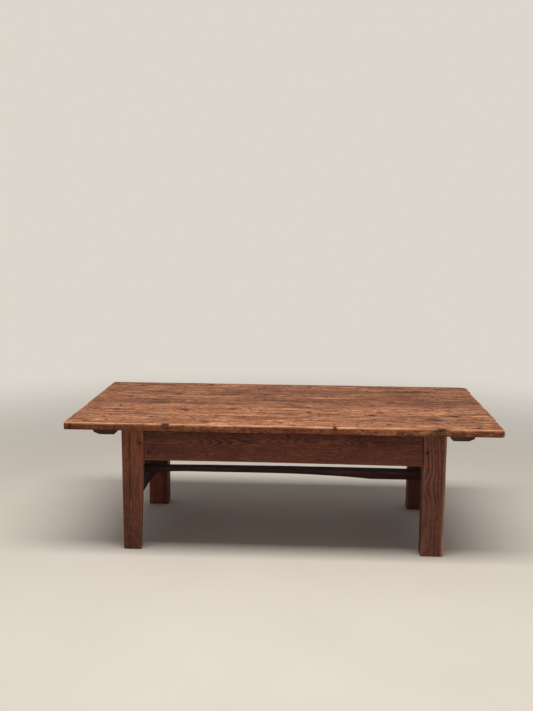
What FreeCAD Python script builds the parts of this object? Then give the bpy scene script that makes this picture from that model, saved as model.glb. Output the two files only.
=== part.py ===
import FreeCAD, Part
import os
from dataclasses import dataclass
from math import cos, pi, sin
from FreeCAD import Vector

# A low farmhouse table: five tongued planks on a pegged frame of four legs, four aprons,
# two low end stretchers and one hewn centre stretcher, with a batten under each end of the top.
# Millimetres. X runs along the table, Y from front to back, Z up.
# The origin is on the floor, under the middle of the top.

# Overall sizes, and how far the top overhangs the outer faces of the legs
table_height = 450.0
top_length = 1385.0
end_overhang = 163.5
side_overhang = 99.1

# Planks of the top, front to back
top_thickness = 24.0
front_board_width = 160.0
second_board_width = 160.0
middle_board_width = 151.0
fourth_board_width = 168.0
back_board_width = 104.0
board_gap = 0.8
tongue_thickness = 8.0
tongue_length = 9.0
tongue_clearance = 0.3

# Planks whose ends have shrunk or been trimmed short of the rest
second_board_left_short = 1.5
middle_board_right_short = 1.5
fourth_board_right_short = 2.5

# Wear of the top: rounded outer edges, eased joints, and corners knocked round in plan
worn_arris = 4.0
under_arris = 2.0
joint_chamfer = 1.2
front_left_corner = 2.0
front_right_corner = 5.0
back_right_corner = 20.0
back_left_corner = 9.0

# Legs: wider than deep. The front left one narrows towards its foot and is out of square on its
# inner face below the apron, and the back right one is cut back there.
# The corners are rounded by the foot's chamfer and by what is left round inside it
leg_width = 74.0
leg_depth = 56.0
foot_chamfer = 2.0
foot_corner = 1.5
taper_drop = 2.0
front_left_inner_taper = 11.0
front_left_outer_taper = 3.5
front_left_skew = 8.0
back_right_relief = 6.0

# Aprons under the top
apron_height = 122.0
apron_thickness = 26.0
apron_setback = 3.0
apron_cheek = 8.0
apron_haunch = 24.0
front_apron_sag = 2.7

# Low stretchers between the legs at each end
end_stretcher_bottom = 118.0
end_stretcher_height = 110.0
end_stretcher_thickness = 20.0
end_stretcher_setback = 2.0
end_stretcher_cheek = 5.0

# Tenons and the pegs driven through them
tenon_thickness = 10.0
tenon_shoulder = 12.0
tenon_wall = 8.0
tenon_clearance = 0.15
tenon_end_clearance = 0.8
rail_arris = 2.5
peg_diameter = 9.0
peg_tip_diameter = 8.0
peg_inset = 13.0
peg_reach = 18.0
peg_proud = 0.6
peg_chamfer = 1.2
peg_clearance = 0.1
front_left_peg_drop = 4.0
front_right_peg_drop = 17.0
whittled_sides = 8

# Centre stretcher: bowed a little on top, hewn to a shallow arch below that is deepest at the right
stretcher_top = 213.0
stretcher_bow = 2.6
stretcher_front = 26.0
stretcher_left_width = 46.0
stretcher_right_width = 57.0
stretcher_left_depth = 25.0
stretcher_right_depth = 32.5
stretcher_crown_depth = 17.8
left_sweep = 174.0
right_sweep = 363.0
right_block = 201.0
arch_steps = 4
stretcher_tenon_width = 28.0
stretcher_tenon_height = 10.0
stretcher_tenon_drop = 3.0

# Hewn half section of the centre stretcher: shares of its half width and of its depth
hewn_half_section = ((1.0, 0.0), (1.0, 0.3), (0.62, 0.85), (0.25, 1.0))

# Battens under the overhanging ends of the top
batten_width = 76.0
batten_thickness = 23.0
batten_leg_clearance = 2.0
batten_end_setback = 40.0
batten_inner_bevel = 8.0
batten_outer_bevel_width = 19.0
batten_outer_bevel_height = 8.0
batten_end_bevel = 3.0

# Forged nails, driven just below the surface of the top
nail_head_diameter = 11.0
nail_head_flat = 4.5
nail_head_height = 1.6
nail_sink = 0.4
nail_shank = 4.6
nail_tip = 1.4
nail_hold = 17.0
nail_clearance = 0.1
apron_nail_spacing = 300.0

# Heights and widths that follow from the sizes above
top_width = (
    front_board_width
    + second_board_width
    + middle_board_width
    + fourth_board_width
    + back_board_width
    + 4 * board_gap
)
frame_length = top_length - 2 * end_overhang
frame_width = top_width - 2 * side_overhang
top_underside = table_height - top_thickness
apron_bottom = top_underside - apron_height
taper_height = apron_bottom - taper_drop
apron_tenon_inside = apron_setback + apron_cheek + tenon_thickness
long_tenon = leg_width - apron_tenon_inside - tenon_wall
end_tenon = leg_depth - apron_tenon_inside - tenon_wall
stretcher_shoulder = frame_length / 2 - end_stretcher_setback - end_stretcher_thickness
crown_left = left_sweep - stretcher_shoulder
arch_stop = stretcher_shoulder - right_block
crown_right = arch_stop - right_sweep
batten_inner = frame_length / 2 + batten_leg_clearance
batten_middle = batten_inner + batten_width / 2
batten_reach = top_width / 2 - batten_end_setback
apron_middle = frame_width / 2 - apron_setback - apron_thickness / 2

UP = Vector(0, 0, 1)
INWARD = Vector(0, 1, 0)


@dataclass
class Side:
    """One side of the frame.

    turn is about Z, reach the distance of its leg faces from the middle, span half the clear length
    between its legs, and tenon the length of the tenons that enter them.
    """

    turn: float
    reach: float
    span: float
    tenon: float


@dataclass
class Leg:
    """One leg: its corner of the frame, and how its inner and outer faces narrow below the aprons.

    The tapers are measured at the foot. relief is the step cut into the inner face under the apron, and skew
    is how much more of that face is cut away at its far edge than at the edge seen from outside.
    """

    x_side: int
    y_side: int
    inner_taper: float = 0.0
    outer_taper: float = 0.0
    relief: float = 0.0
    skew: float = 0.0


@dataclass
class Board:
    """One plank of the top, and how far its ends stop short of the top's full length."""

    name: str
    width: float
    left_short: float = 0.0
    right_short: float = 0.0


@dataclass
class Rail:
    """A board set on edge between two legs, tenoned into both and pegged."""

    name: str
    side: str
    bottom: float
    height: float
    thickness: float
    setback: float
    cheek: float
    upper_shoulder: float
    left_peg_drop: float = 0.0
    right_peg_drop: float = 0.0
    right_sag: float = 0.0


def block(xs, ys, zs):
    """A block between two values on each axis, given in any order."""
    pairs = (xs, ys, zs)
    sizes = [abs(b - a) for a, b in pairs]
    return Part.makeBox(*sizes, Vector(*[min(pair) for pair in pairs]))


def prism(points, path):
    """A solid swept along a straight path from a flat outline."""
    outline = Part.makePolygon(points + points[:1])
    return Part.Face(outline).extrude(path)


def whittled_ring(centre, radius, axis):
    """A closed outline with even facets round an axis, upright or pointing inwards."""
    points = []
    for step in range(whittled_sides + 1):
        turn = 2 * pi * (step + 0.5) / whittled_sides
        across = Vector(1, 0, 0) * radius * cos(turn)
        points.append(centre + across + axis.cross(Vector(1, 0, 0)) * radius * sin(turn))
    return Part.makePolygon(points)


def edges_at_height(shape, height):
    """The edges of a shape that lie flat at one height."""
    return [
        edge
        for edge in shape.Edges
        if abs(edge.BoundBox.ZMin - height) < 1e-4 and abs(edge.BoundBox.ZMax - height) < 1e-4
    ]


def upright_edge(shape, x, y):
    """The vertical edge of a shape that stands at one place in plan."""
    return min(shape.Edges, key=lambda edge: (edge.CenterOfMass - Vector(x, y, edge.CenterOfMass.z)).Length)


def to_side(shape, side):
    """Carries a shape drawn as seen from outside, X right and Y inwards from the leg faces, to its side."""
    moved = shape.copy()
    moved.translate(Vector(0, -sides[side].reach, 0))
    moved.rotate(Vector(), UP, sides[side].turn)
    return moved


def worn_slab(left, right):
    """The whole top as one slab between two ends, with its corners and outer edges worn round."""
    back = top_width / 2
    slab = block((left, right), (-back, back), (top_underside, table_height))
    corners = (
        (left, -back, front_left_corner),
        (right, -back, front_right_corner),
        (right, back, back_right_corner),
        (left, back, back_left_corner),
    )
    for x, y, rounding in corners:
        slab = slab.makeFillet(worn_arris + rounding, [upright_edge(slab, x, y)])
    slab = slab.makeFillet(worn_arris, edges_at_height(slab, table_height))
    return slab.makeFillet(under_arris, edges_at_height(slab, top_underside))


def joint_groove(y):
    """The V that the eased upper edges of two planks leave along their joint."""
    reach = top_length / 2
    half = board_gap / 2 + joint_chamfer
    points = [
        Vector(-reach, y - half, table_height),
        Vector(-reach, y + half, table_height),
        Vector(-reach, y, table_height - half),
    ]
    return prism(points, Vector(2 * reach, 0, 0))


def tongue_block(edge, grow):
    """The tongue on a plank's back edge, or, grown by its clearance, the groove that takes it."""
    middle = (top_underside + table_height) / 2
    half = tongue_thickness / 2 + grow
    reach = top_length / 2
    return block((-reach, reach), (edge, edge + tongue_length + grow), (middle - half, middle + half))


def top_board(board, front, is_first, is_last):
    """One plank cut from the worn slab, with its tongue, groove and eased joints."""
    slab = worn_slab(board.left_short - top_length / 2, top_length / 2 - board.right_short)
    back = front + board.width
    reach = top_length / 2
    plank = slab.common(block((-reach, reach), (front, back), (top_underside, table_height)))
    if not is_last:
        plank = plank.fuse(slab.common(tongue_block(back, 0.0)))
        plank = plank.cut(joint_groove(back + board_gap / 2))
    if not is_first:
        plank = plank.cut(tongue_block(front - board_gap, tongue_clearance))
        plank = plank.cut(joint_groove(front - board_gap / 2))
    return plank.removeSplitter()


def batten(x_side):
    """A cleat under one end of the top, bevelled along both lower edges and at its ends."""
    inner = x_side * batten_inner
    outer = x_side * (batten_inner + batten_width)
    low = top_underside - batten_thickness
    points = [
        Vector(inner, -batten_reach, top_underside),
        Vector(inner, -batten_reach, low + batten_inner_bevel),
        Vector(inner + x_side * batten_inner_bevel, -batten_reach, low),
        Vector(outer - x_side * batten_outer_bevel_width, -batten_reach, low),
        Vector(outer, -batten_reach, low + batten_outer_bevel_height),
        Vector(outer, -batten_reach, top_underside),
    ]
    bar = prism(points, Vector(0, 2 * batten_reach, 0))
    ends = [edge for edge in edges_at_height(bar, low) if edge.BoundBox.YLength < 1e-4]
    return bar.makeChamfer(batten_end_bevel, ends)


def nail_hole(x, y, length):
    """The hole that a nail fills: a shallow seat for its head and a tapered hole for its shank."""
    radius = nail_head_diameter / 2 + nail_clearance
    neck = table_height - nail_sink - nail_head_height
    rings = [whittled_ring(Vector(x, y, height), radius, UP) for height in (table_height, neck)]
    seat = Part.makeLoft(rings, True, True)
    return seat.fuse(nail_shaft(x, y, length + nail_clearance, nail_clearance))


def nail_shaft(x, y, length, grow):
    """The square shank of a nail, tapering to its tip."""
    neck = table_height - nail_sink - nail_head_height
    rings = []
    for width, height in ((nail_shank, neck), (nail_tip, neck - length)):
        half = width / 2 + grow
        corners = [(-half, -half), (half, -half), (half, half), (-half, half), (-half, -half)]
        rings.append(Part.makePolygon([Vector(x + dx, y + dy, height) for dx, dy in corners]))
    return Part.makeLoft(rings, True, True)


def nail(x, y, length):
    """A forged nail whose low hammered head lies just under the surface of the top."""
    crown = table_height - nail_sink
    rings = [
        whittled_ring(Vector(x, y, crown), nail_head_flat / 2, UP),
        whittled_ring(Vector(x, y, crown - nail_head_height), nail_head_diameter / 2, UP),
    ]
    head = Part.makeLoft(rings, True, True)
    return head.fuse(nail_shaft(x, y, length, 0.0)).removeSplitter()


def batten_nail_places(edges):
    """Two nails for each plank over each batten, at the quarter points of the stretch that it covers."""
    places = []
    for front, back in edges:
        low = max(front, -batten_reach)
        high = min(back, batten_reach)
        for x_side in (-1, 1):
            for share in (0.25, 0.75):
                places.append((x_side * batten_middle, low + share * (high - low)))
    return places


def apron_nail_places():
    """Three nails into the upper edge of each long apron."""
    return [(x * apron_nail_spacing, y * apron_middle) for y in (-1, 1) for x in (-1, 0, 1)]


def leg_post(leg):
    """A leg with softened corners, narrowed towards its foot."""
    outer = leg.x_side * frame_length / 2
    inner = outer - leg.x_side * leg_width
    front = leg.y_side * frame_width / 2
    points = [
        Vector(outer - leg.x_side * leg.outer_taper, front, 0),
        Vector(inner + leg.x_side * (leg.relief + leg.inner_taper), front, 0),
        Vector(inner + leg.x_side * leg.relief, front, taper_height - leg.relief),
    ]
    if leg.relief > 0:
        points.append(Vector(inner, front, taper_height))
    points.append(Vector(inner, front, top_underside))
    points.append(Vector(outer, front, top_underside))
    post = prism(points, Vector(0, -leg.y_side * leg_depth, 0))
    corners = [edge for edge in post.Edges if edge.BoundBox.ZLength > 1e-4]
    post = post.makeFillet(foot_chamfer + foot_corner, corners)
    if leg.skew > 0:
        post = post.cut(skew_wedge(leg, inner, front))
    return post.makeChamfer(foot_chamfer, edges_at_height(post, 0.0))


def skew_wedge(leg, inner, front):
    """What is cut from a leg's inner face below the taper height to leave it out of square."""
    back = front - leg.y_side * leg_depth
    clear = inner - leg.x_side * leg_width
    near = inner + leg.x_side * leg.inner_taper
    points = [
        Vector(clear, front, 0),
        Vector(near, front, 0),
        Vector(near + leg.x_side * leg.skew, back, 0),
        Vector(clear, back, 0),
    ]
    return prism(points, Vector(-leg.x_side * leg.inner_taper, 0, taper_height))


def rail_tenon(rail, end, grow, end_grow):
    """The tenon at one end of a rail or, grown by its clearances, the mortise that takes it."""
    side = sides[rail.side]
    depth = rail.setback + rail.cheek
    shape = block(
        (end * side.span, end * (side.span + side.tenon + end_grow)),
        (depth - grow, depth + tenon_thickness + grow),
        (rail.bottom + tenon_shoulder - grow, rail.bottom + rail.height - rail.upper_shoulder + grow),
    )
    return to_side(shape, rail.side)


def rail_peg(rail, end, grow):
    """The whittled peg through one tenon, driven from the leg's outer face, or the hole that it fills."""
    along = end * (sides[rail.side].span + peg_inset)
    drop = rail.left_peg_drop if end < 0 else rail.right_peg_drop
    height = rail.bottom + rail.height / 2 - drop
    tip = rail.setback + rail.cheek + tenon_thickness + peg_reach + grow
    outline = [(-peg_proud, peg_diameter / 2), (tip, peg_tip_diameter / 2)]
    if grow == 0.0:
        outline[0] = (peg_chamfer - peg_proud, peg_diameter / 2)
        outline.insert(0, (-peg_proud, peg_diameter / 2 - peg_chamfer))
    rings = [whittled_ring(Vector(along, depth, height), radius + grow, INWARD) for depth, radius in outline]
    return to_side(Part.makeLoft(rings, True, True), rail.side)


def rail_board(rail):
    """A rail with a tenon at each end, bored for its pegs."""
    span = sides[rail.side].span
    top = rail.bottom + rail.height
    points = [
        Vector(-span, rail.setback, top),
        Vector(-span, rail.setback, rail.bottom),
        Vector(span, rail.setback, rail.bottom - rail.right_sag),
        Vector(span, rail.setback, top),
    ]
    if rail.right_sag > 0:
        points.insert(2, Vector(0, rail.setback, rail.bottom))
    body = prism(points, Vector(0, rail.thickness, 0))
    lower = [edge for edge in body.Edges if edge.BoundBox.ZMax < rail.bottom + 1e-4]
    lower = [edge for edge in lower if edge.BoundBox.YLength < 1e-4]
    body = to_side(body.makeFillet(rail_arris, lower), rail.side)
    for end in (-1, 1):
        body = body.fuse(rail_tenon(rail, end, 0.0, 0.0))
        body = body.cut(rail_peg(rail, end, peg_clearance))
    return body.removeSplitter()


def stretcher_depth(x):
    """How deep the centre stretcher is at one place along it: level at the crown, swept down to each end."""
    if x <= crown_left:
        share = (crown_left - x) / (crown_left + stretcher_shoulder)
        return stretcher_crown_depth + (stretcher_left_depth - stretcher_crown_depth) * share**2
    share = min(max((x - crown_right) / (arch_stop - crown_right), 0.0), 1.0)
    return stretcher_crown_depth + (stretcher_right_depth - stretcher_crown_depth) * share**2


def stretcher_width(x):
    """How wide the centre stretcher is at one place along it, growing from left to right."""
    share = (x + stretcher_shoulder) / (2 * stretcher_shoulder)
    return stretcher_left_width + (stretcher_right_width - stretcher_left_width) * share


def stretcher_section(x):
    """The hewn section of the centre stretcher at one place: flat top, upright front, faceted below."""
    half = stretcher_width(x) / 2
    high = stretcher_top + stretcher_bow * (1 - (x / stretcher_shoulder) ** 2)
    depth = high - stretcher_top + stretcher_depth(x)
    middle = half - stretcher_front
    front = [Vector(x, middle - half * a, high - depth * d) for a, d in hewn_half_section]
    back = [Vector(x, middle + half * a, high - depth * d) for a, d in reversed(hewn_half_section)]
    return Part.makePolygon(front + back + front[:1])


def stretcher_tenon(end, grow):
    """The tenon of the centre stretcher that passes through an end stretcher, or its mortise."""
    middle = stretcher_width(end * stretcher_shoulder) / 2 - stretcher_front
    half = stretcher_tenon_width / 2 + grow
    high = stretcher_top - stretcher_tenon_drop
    reach = stretcher_shoulder + end_stretcher_thickness
    return block(
        (end * stretcher_shoulder, end * reach),
        (middle - half, middle + half),
        (high - stretcher_tenon_height - grow, high + grow),
    )


def centre_stretcher():
    """The long hewn stretcher, tenoned through both end stretchers."""
    shares = [step / arch_steps for step in range(arch_steps + 1)]
    left = [crown_left * share - stretcher_shoulder * (1 - share) for share in shares]
    right = [arch_stop * share + crown_right * (1 - share) for share in shares]
    stations = left + right + [stretcher_shoulder]
    body = Part.makeLoft([stretcher_section(x) for x in stations], True, True)
    for end in (-1, 1):
        body = body.fuse(stretcher_tenon(end, 0.0))
    return body.removeSplitter()


sides = {
    "front": Side(0, frame_width / 2, frame_length / 2 - leg_width, long_tenon),
    "right": Side(90, frame_length / 2, frame_width / 2 - leg_depth, end_tenon),
    "back": Side(180, frame_width / 2, frame_length / 2 - leg_width, long_tenon),
    "left": Side(270, frame_length / 2, frame_width / 2 - leg_depth, end_tenon),
}
boards = [
    Board("top_board_front", front_board_width),
    Board("top_board_second", second_board_width, left_short=second_board_left_short),
    Board("top_board_middle", middle_board_width, right_short=middle_board_right_short),
    Board("top_board_fourth", fourth_board_width, right_short=fourth_board_right_short),
    Board("top_board_back", back_board_width),
]
aprons = [
    Rail(
        "apron_" + side,
        side,
        apron_bottom,
        apron_height,
        apron_thickness,
        apron_setback,
        apron_cheek,
        apron_haunch,
    )
    for side in sides
]
aprons[0].left_peg_drop = front_left_peg_drop
aprons[0].right_peg_drop = front_right_peg_drop
aprons[0].right_sag = front_apron_sag
end_stretchers = [
    Rail(
        "end_stretcher_" + side,
        side,
        end_stretcher_bottom,
        end_stretcher_height,
        end_stretcher_thickness,
        end_stretcher_setback,
        end_stretcher_cheek,
        tenon_shoulder,
    )
    for side in ("left", "right")
]
legs = {
    "leg_front_left": Leg(-1, -1, front_left_inner_taper, front_left_outer_taper, skew=front_left_skew),
    "leg_front_right": Leg(1, -1),
    "leg_back_left": Leg(-1, 1),
    "leg_back_right": Leg(1, 1, relief=back_right_relief),
}
nodes = {}

# Top: planks side by side, nailed down to the battens and the long aprons
board_edges = []
front_edge = -top_width / 2
for board in boards:
    board_edges.append((front_edge, front_edge + board.width))
    front_edge += board.width + board_gap
batten_nails = batten_nail_places(board_edges)
apron_nails = apron_nail_places()
nail_length = top_thickness - nail_sink - nail_head_height + nail_hold
nail_holes = Part.makeCompound([nail_hole(x, y, nail_length) for x, y in batten_nails + apron_nails])
for place, board in enumerate(boards):
    plank = top_board(board, board_edges[place][0], place == 0, place == len(boards) - 1)
    nodes[board.name] = plank.cut(nail_holes)
nodes["batten_left"] = batten(-1).cut(nail_holes)
nodes["batten_right"] = batten(1).cut(nail_holes)

# Frame: legs mortised for every rail, rails pegged into the legs
rails = aprons + end_stretchers
mortises = []
for rail in rails:
    for end in (-1, 1):
        mortises.append(rail_tenon(rail, end, tenon_clearance, tenon_end_clearance))
        mortises.append(rail_peg(rail, end, peg_clearance))
for name, leg in legs.items():
    nodes[name] = leg_post(leg).cut(Part.makeCompound(mortises))
for rail in aprons:
    nodes[rail.name] = rail_board(rail).cut(nail_holes)
for rail in end_stretchers:
    end = 1 if rail.side == "right" else -1
    nodes[rail.name] = rail_board(rail).cut(stretcher_tenon(end, tenon_clearance))
nodes["centre_stretcher"] = centre_stretcher()

# Fastenings
for name, pegged in (("apron_pegs", aprons), ("stretcher_pegs", end_stretchers)):
    nodes[name] = Part.makeCompound([rail_peg(rail, end, 0.0) for rail in pegged for end in (-1, 1)])
nodes["batten_nails"] = Part.makeCompound([nail(x, y, nail_length) for x, y in batten_nails])
nodes["apron_nails"] = Part.makeCompound([nail(x, y, nail_length) for x, y in apron_nails])

os.makedirs("parts", exist_ok=True)
for name, shape in nodes.items():
    shape.exportStep("parts/" + name + ".step")
    print(name, len(shape.Solids), shape.isValid(), round(shape.Volume))
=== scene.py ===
"""Looks of a low farmhouse table: worn planks on a dark pegged frame.

Everything is in metres in the part's own frame: X along the table, Y from front to back, Z up, with the
origin on the floor under the middle of the top. The front, at low Y, is the side that the camera sees.
"""

import logging
import math
from dataclasses import dataclass, field, replace
from enum import Enum

import bpy
import numpy as np
from mathutils import Matrix, Vector


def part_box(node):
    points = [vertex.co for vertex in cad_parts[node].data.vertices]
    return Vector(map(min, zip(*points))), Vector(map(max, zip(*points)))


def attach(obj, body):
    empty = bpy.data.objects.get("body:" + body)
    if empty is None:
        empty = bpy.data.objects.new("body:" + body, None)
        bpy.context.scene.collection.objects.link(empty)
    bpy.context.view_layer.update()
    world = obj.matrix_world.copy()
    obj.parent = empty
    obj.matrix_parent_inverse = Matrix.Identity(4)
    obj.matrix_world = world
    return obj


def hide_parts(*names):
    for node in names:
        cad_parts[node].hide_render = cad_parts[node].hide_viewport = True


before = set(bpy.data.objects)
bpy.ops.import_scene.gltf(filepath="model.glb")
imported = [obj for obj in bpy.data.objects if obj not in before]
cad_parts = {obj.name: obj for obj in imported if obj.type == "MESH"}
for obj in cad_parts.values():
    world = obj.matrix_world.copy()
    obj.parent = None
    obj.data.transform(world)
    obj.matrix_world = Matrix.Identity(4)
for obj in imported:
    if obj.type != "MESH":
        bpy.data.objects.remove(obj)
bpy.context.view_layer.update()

Tree = bpy.types.NodeTree
Socket = bpy.types.NodeSocket
Material = bpy.types.Material
Sides = tuple[np.ndarray, np.ndarray, np.ndarray, np.ndarray]

MM = 0.001
BODY = "root"
LOG = logging.getLogger("farmhouse_table")

# Keys that scramble a lattice cell into a fixed pseudo-random number
LATTICE_KEYS = np.array([374761393, 668265263, 974634777], dtype=np.int64)
SEED_KEY = 362437
SCRAMBLE = 1274126177
HASH_MASK = 0x7FFFFFFF
# How far from the planes of the lattice a line of noise runs
LINE_OFFSET = 0.37

# Stations in millimetres: from an end, where edges round off, and to both sides of a nail or a gouge
END_STATIONS = np.array([0.0, 0.3, 0.8, 1.6, 2.6, 4.0, 6.0, 9.0])
CLOSE_STATIONS = np.arange(-7.5, 7.6, 1.5)
LEAST_STEP = 0.2
# How much sags, scallops and nicks sink a face, and the level of the noise where a nick starts
SINK_SHARES = (0.5, 0.3, 1.4)
NICK_LEVEL = 0.45
# Knots are hard: up to this many radii away, only the least share of that is lost
KNOT_HOLD = 0.6
LEAST_SINK = 0.15
# Millimetres over which a drying crack runs out, and by which its line wanders
CRACK_RUN_OUT = 18.0
CRACK_WANDER = 2.2
# The share of its width that a crack keeps at its ends
CRACK_END = 0.25
# The strength of a patch where its blotches leave it alone, at the least and at the most
PATCH_LEVELS = (0.8, 0.2, 1.2)
# Knots are longer than wide, and this many radii away there is none
KNOT_STRETCH = 1.3
NO_KNOT = 6.0
# How far a knot pushes the rings aside, in millimetres, and over how many of its radii
KNOT_PUSH = 9.0
KNOT_PUSH_REACH = 2.2
# How dark the cut ends are
END_DARK = 0.6
# Metres along the log from one timber's wood to the next
LOG_STEP = 0.71
# Edges of one timber wear apart from those of the next, slowly and quickly: share, pitch and salt
EDGE_SEEDS = 31
EDGE_WAVES = ((0.65, 0.11, 0), (0.35, 0.031, 7))
EDGE_SWING = 1.6
EDGE_LIMITS = (0.25, 2.6)
# How far the pith wanders across and deep in the log, in millimetres
PITH_ACROSS = 6.0
PITH_DEEP = 5.0
# How far into the timber an uneven saw cut at its end is taken up
END_REACH = 0.03
SHARP_DEGREES = 42.0


def smooth_noise(points: np.ndarray, seed: int) -> np.ndarray:
    """Smooth value noise.

    Args:
        points: Places in lattice units, three values in the last axis.
        seed: Which pattern to draw.

    Returns:
        One value from -1 to 1 for each place.
    """
    cell = np.floor(points).astype(np.int64)
    share = points - cell
    share = share * share * (3.0 - 2.0 * share)
    total = np.zeros(points.shape[:-1])
    for corner in np.ndindex(2, 2, 2):
        key = ((cell + corner) * LATTICE_KEYS).sum(-1) + seed * SEED_KEY & HASH_MASK
        key = (key ^ (key >> 13)) * SCRAMBLE & HASH_MASK
        key = key ^ (key >> 16)
        weight = np.where(np.array(corner) == 1, share, 1.0 - share).prod(-1)
        total += weight * (key / (HASH_MASK / 2) - 1.0)
    return total


def wander(along: np.ndarray, pitch: float, seed: int) -> np.ndarray:
    """Smooth noise along one line.

    Args:
        along: Distances along the line, in metres.
        pitch: Distance from one bump to the next, in metres.
        seed: Which pattern to draw.

    Returns:
        One value from -1 to 1 for each distance.
    """
    line = np.full(along.shape + (3,), LINE_OFFSET)
    line[..., 0] = along / pitch
    return smooth_noise(line, seed)


def bell(gap: np.ndarray, reach: float) -> np.ndarray:
    """A soft hump: one where the gap is nothing, fading to both sides over the reach."""
    return np.exp(-((gap / reach) ** 2))


def unit(values: np.ndarray) -> np.ndarray:
    """Holds values between zero and one."""
    return np.clip(values, 0.0, 1.0)


def linear(hex_colour: str) -> tuple[float, float, float, float]:
    """Turns an sRGB hex colour into linear light.

    Args:
        hex_colour: Six hex digits after a number sign.

    Returns:
        Red, green, blue and alpha.
    """
    channels = [int(hex_colour[i : i + 2], 16) / 255.0 for i in (1, 3, 5)]
    lit = [c / 12.92 if c <= 0.04045 else ((c + 0.055) / 1.055) ** 2.4 for c in channels]
    return (lit[0], lit[1], lit[2], 1.0)


def add_node(
    tree: Tree, kind: str, inputs: dict | None = None, output: str | None = None, **settings: object
) -> Socket | None:
    """Adds one node with its settings and links.

    Args:
        tree: The node tree that gets it.
        kind: The node's type name, without its prefix.
        inputs: Values or output sockets by input name or number.
        output: The output that is wanted, or the first one in use.
        **settings: The node's own properties.

    Returns:
        The wanted output, or nothing where the node has none.
    """
    node = tree.nodes.new("ShaderNode" + kind)
    for name, value in settings.items():
        setattr(node, name, value)
    for key, value in (inputs or {}).items():
        if isinstance(value, Socket):
            tree.links.new(value, node.inputs[key])
        else:
            node.inputs[key].default_value = value
    if output:
        return node.outputs[output]
    return next((socket for socket in node.outputs if socket.enabled), None)


def new_material(name: str) -> Material:
    """Makes a material with an empty node tree.

    Args:
        name: The material's name.

    Returns:
        The material.
    """
    material = bpy.data.materials.new(name)
    material.use_nodes = True
    material.node_tree.nodes.clear()
    return material


def seen_rays(tree: Tree) -> Socket:
    """Finds the rays that show a surface, straight or by reflection, and don't light others.

    Args:
        tree: The node tree that asks.

    Returns:
        One for those rays and zero for the rest.
    """
    seen = add_node(tree, "LightPath", output="Is Camera Ray")
    for name in ("Is Glossy Ray", "Is Transmission Ray"):
        ray = add_node(tree, "LightPath", output=name)
        seen = add_node(tree, "Math", {0: seen, 1: ray}, operation="MAXIMUM")
    return seen


class Axis(Enum):
    """Which way the grain of a timber runs.

    Across and deep follow it in turn, so the three are right-handed.
    """

    LENGTH = 0
    DEPTH = 1
    HEIGHT = 2

    @property
    def order(self) -> list[int]:
        """The world axes of along, across and deep."""
        return [(self.value + step) % 3 for step in range(3)]


class Share(Enum):
    """The per-vertex shares that a timber carries to its finish."""

    # The pale share also carries painted light, and the stain and dark shares also carry painted shade
    KNOT = "knot"
    FIGURE = "figure"
    RUBBED = "rubbed"
    PALE = "pale"
    GRIME = "grime"
    STAIN = "stain"
    DARK = "dark_piece"
    END = "end_grain"


class Noise(Enum):
    """What wanders along a line: a number that is added to the seed, and metres from bump to bump."""

    CRACK_LINE = (3, 0.09)
    CRACK_DEPTH = (5, 0.024)
    PITH_ACROSS = (41, 0.31)
    PITH_DEEP = (42, 0.27)
    END_CUT = (51, 0.05)
    OUTLINE = (61, 0.16)
    JOINT_DIRT = (63, 0.06)
    JOINT_POLISH = (64, 0.14)
    HANDS = (65, 0.06)
    EDGE_DARK = (66, 0.05)
    GOUGE = (68, 0.008)
    END_WEAR = (69, 0.03)
    FINGERS = (70, 0.02)
    HEWN_DEPTH = (71, 0.07)
    HEWN_FACES = (80, 0.055)


class Wear(Enum):
    """What wanders over the faces: a number that is added to the seed, and sizes along, across and deep.

    Sags are slow and scallops come from the plane. Blotches and the strip that sleeves rub don't change
    with the depth.
    """

    SAG = (11, (0.21, 0.06, 0.06))
    SCALLOP = (12, (0.045, 0.024, 0.024))
    NICK = (13, (0.016, 0.011, 0.011))
    POLISH = (21, (0.05, 0.03, 0.03))
    BLOTCHES = (31, (0.028, 0.012, math.inf))
    SLEEVES = (67, (0.05, 0.016, math.inf))


class Shift(float, Enum):
    """How far each pattern of a finish is moved in the noise, so that no two are alike."""

    RINGS = 3.1
    FIBRES = 5.3
    FIGURED = 7.9
    STREAKS = 11.7
    RAGGED = 13.7
    GLEAMS = 17.1
    FLECKS = 23.9
    CHIPPED = 27.7
    CLOUDS = 31.3
    MOTTLE = 41.3


@dataclass(frozen=True)
class Marks:
    """Marks drawn along the grain.

    They have a usual length and width, a level of the noise where they start, one where they are full, and a
    strength. detail is how many finer sizes they break up into, and broken is how strong those are.
    """

    length_mm: float
    width_mm: float
    start: float
    full: float
    strength: float
    detail: float = 2.0
    broken: float = 0.5

    def mask(self, tree: Tree, grain: Socket, shift: Shift, between: float = 0.0) -> Socket:
        """Draws the marks.

        Args:
            tree: The material's node tree.
            grain: Places in the log, in metres.
            shift: Which pattern it is.
            between: What is left between the marks, and adds to them.

        Returns:
            How much of the mark lies at each place.
        """
        sizes = (self.length_mm, self.width_mm, self.width_mm)
        per_metre = tuple(1.0 / (size * MM) for size in sizes)
        to_noise = {0: grain, 1: per_metre, 2: (shift, shift, shift)}
        place = add_node(tree, "VectorMath", to_noise, operation="MULTIPLY_ADD")
        look = {"Vector": place, "Scale": 1.0, "Detail": self.detail, "Roughness": self.broken}
        levels = {
            "Value": add_node(tree, "TexNoise", look),
            "From Min": self.start,
            "From Max": self.full,
            "To Min": between,
            "To Max": between + self.strength,
        }
        return add_node(tree, "MapRange", levels, interpolation_type="SMOOTHSTEP")

    def thinned(self, tree: Tree, grain: Socket, shift: Shift, layer: Socket) -> Socket:
        """Thins a layer out between the marks, by their strength."""
        kept = self.mask(tree, grain, shift, 1.0 - self.strength)
        return add_node(tree, "Math", {0: layer, 1: kept}, operation="MULTIPLY")


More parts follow.
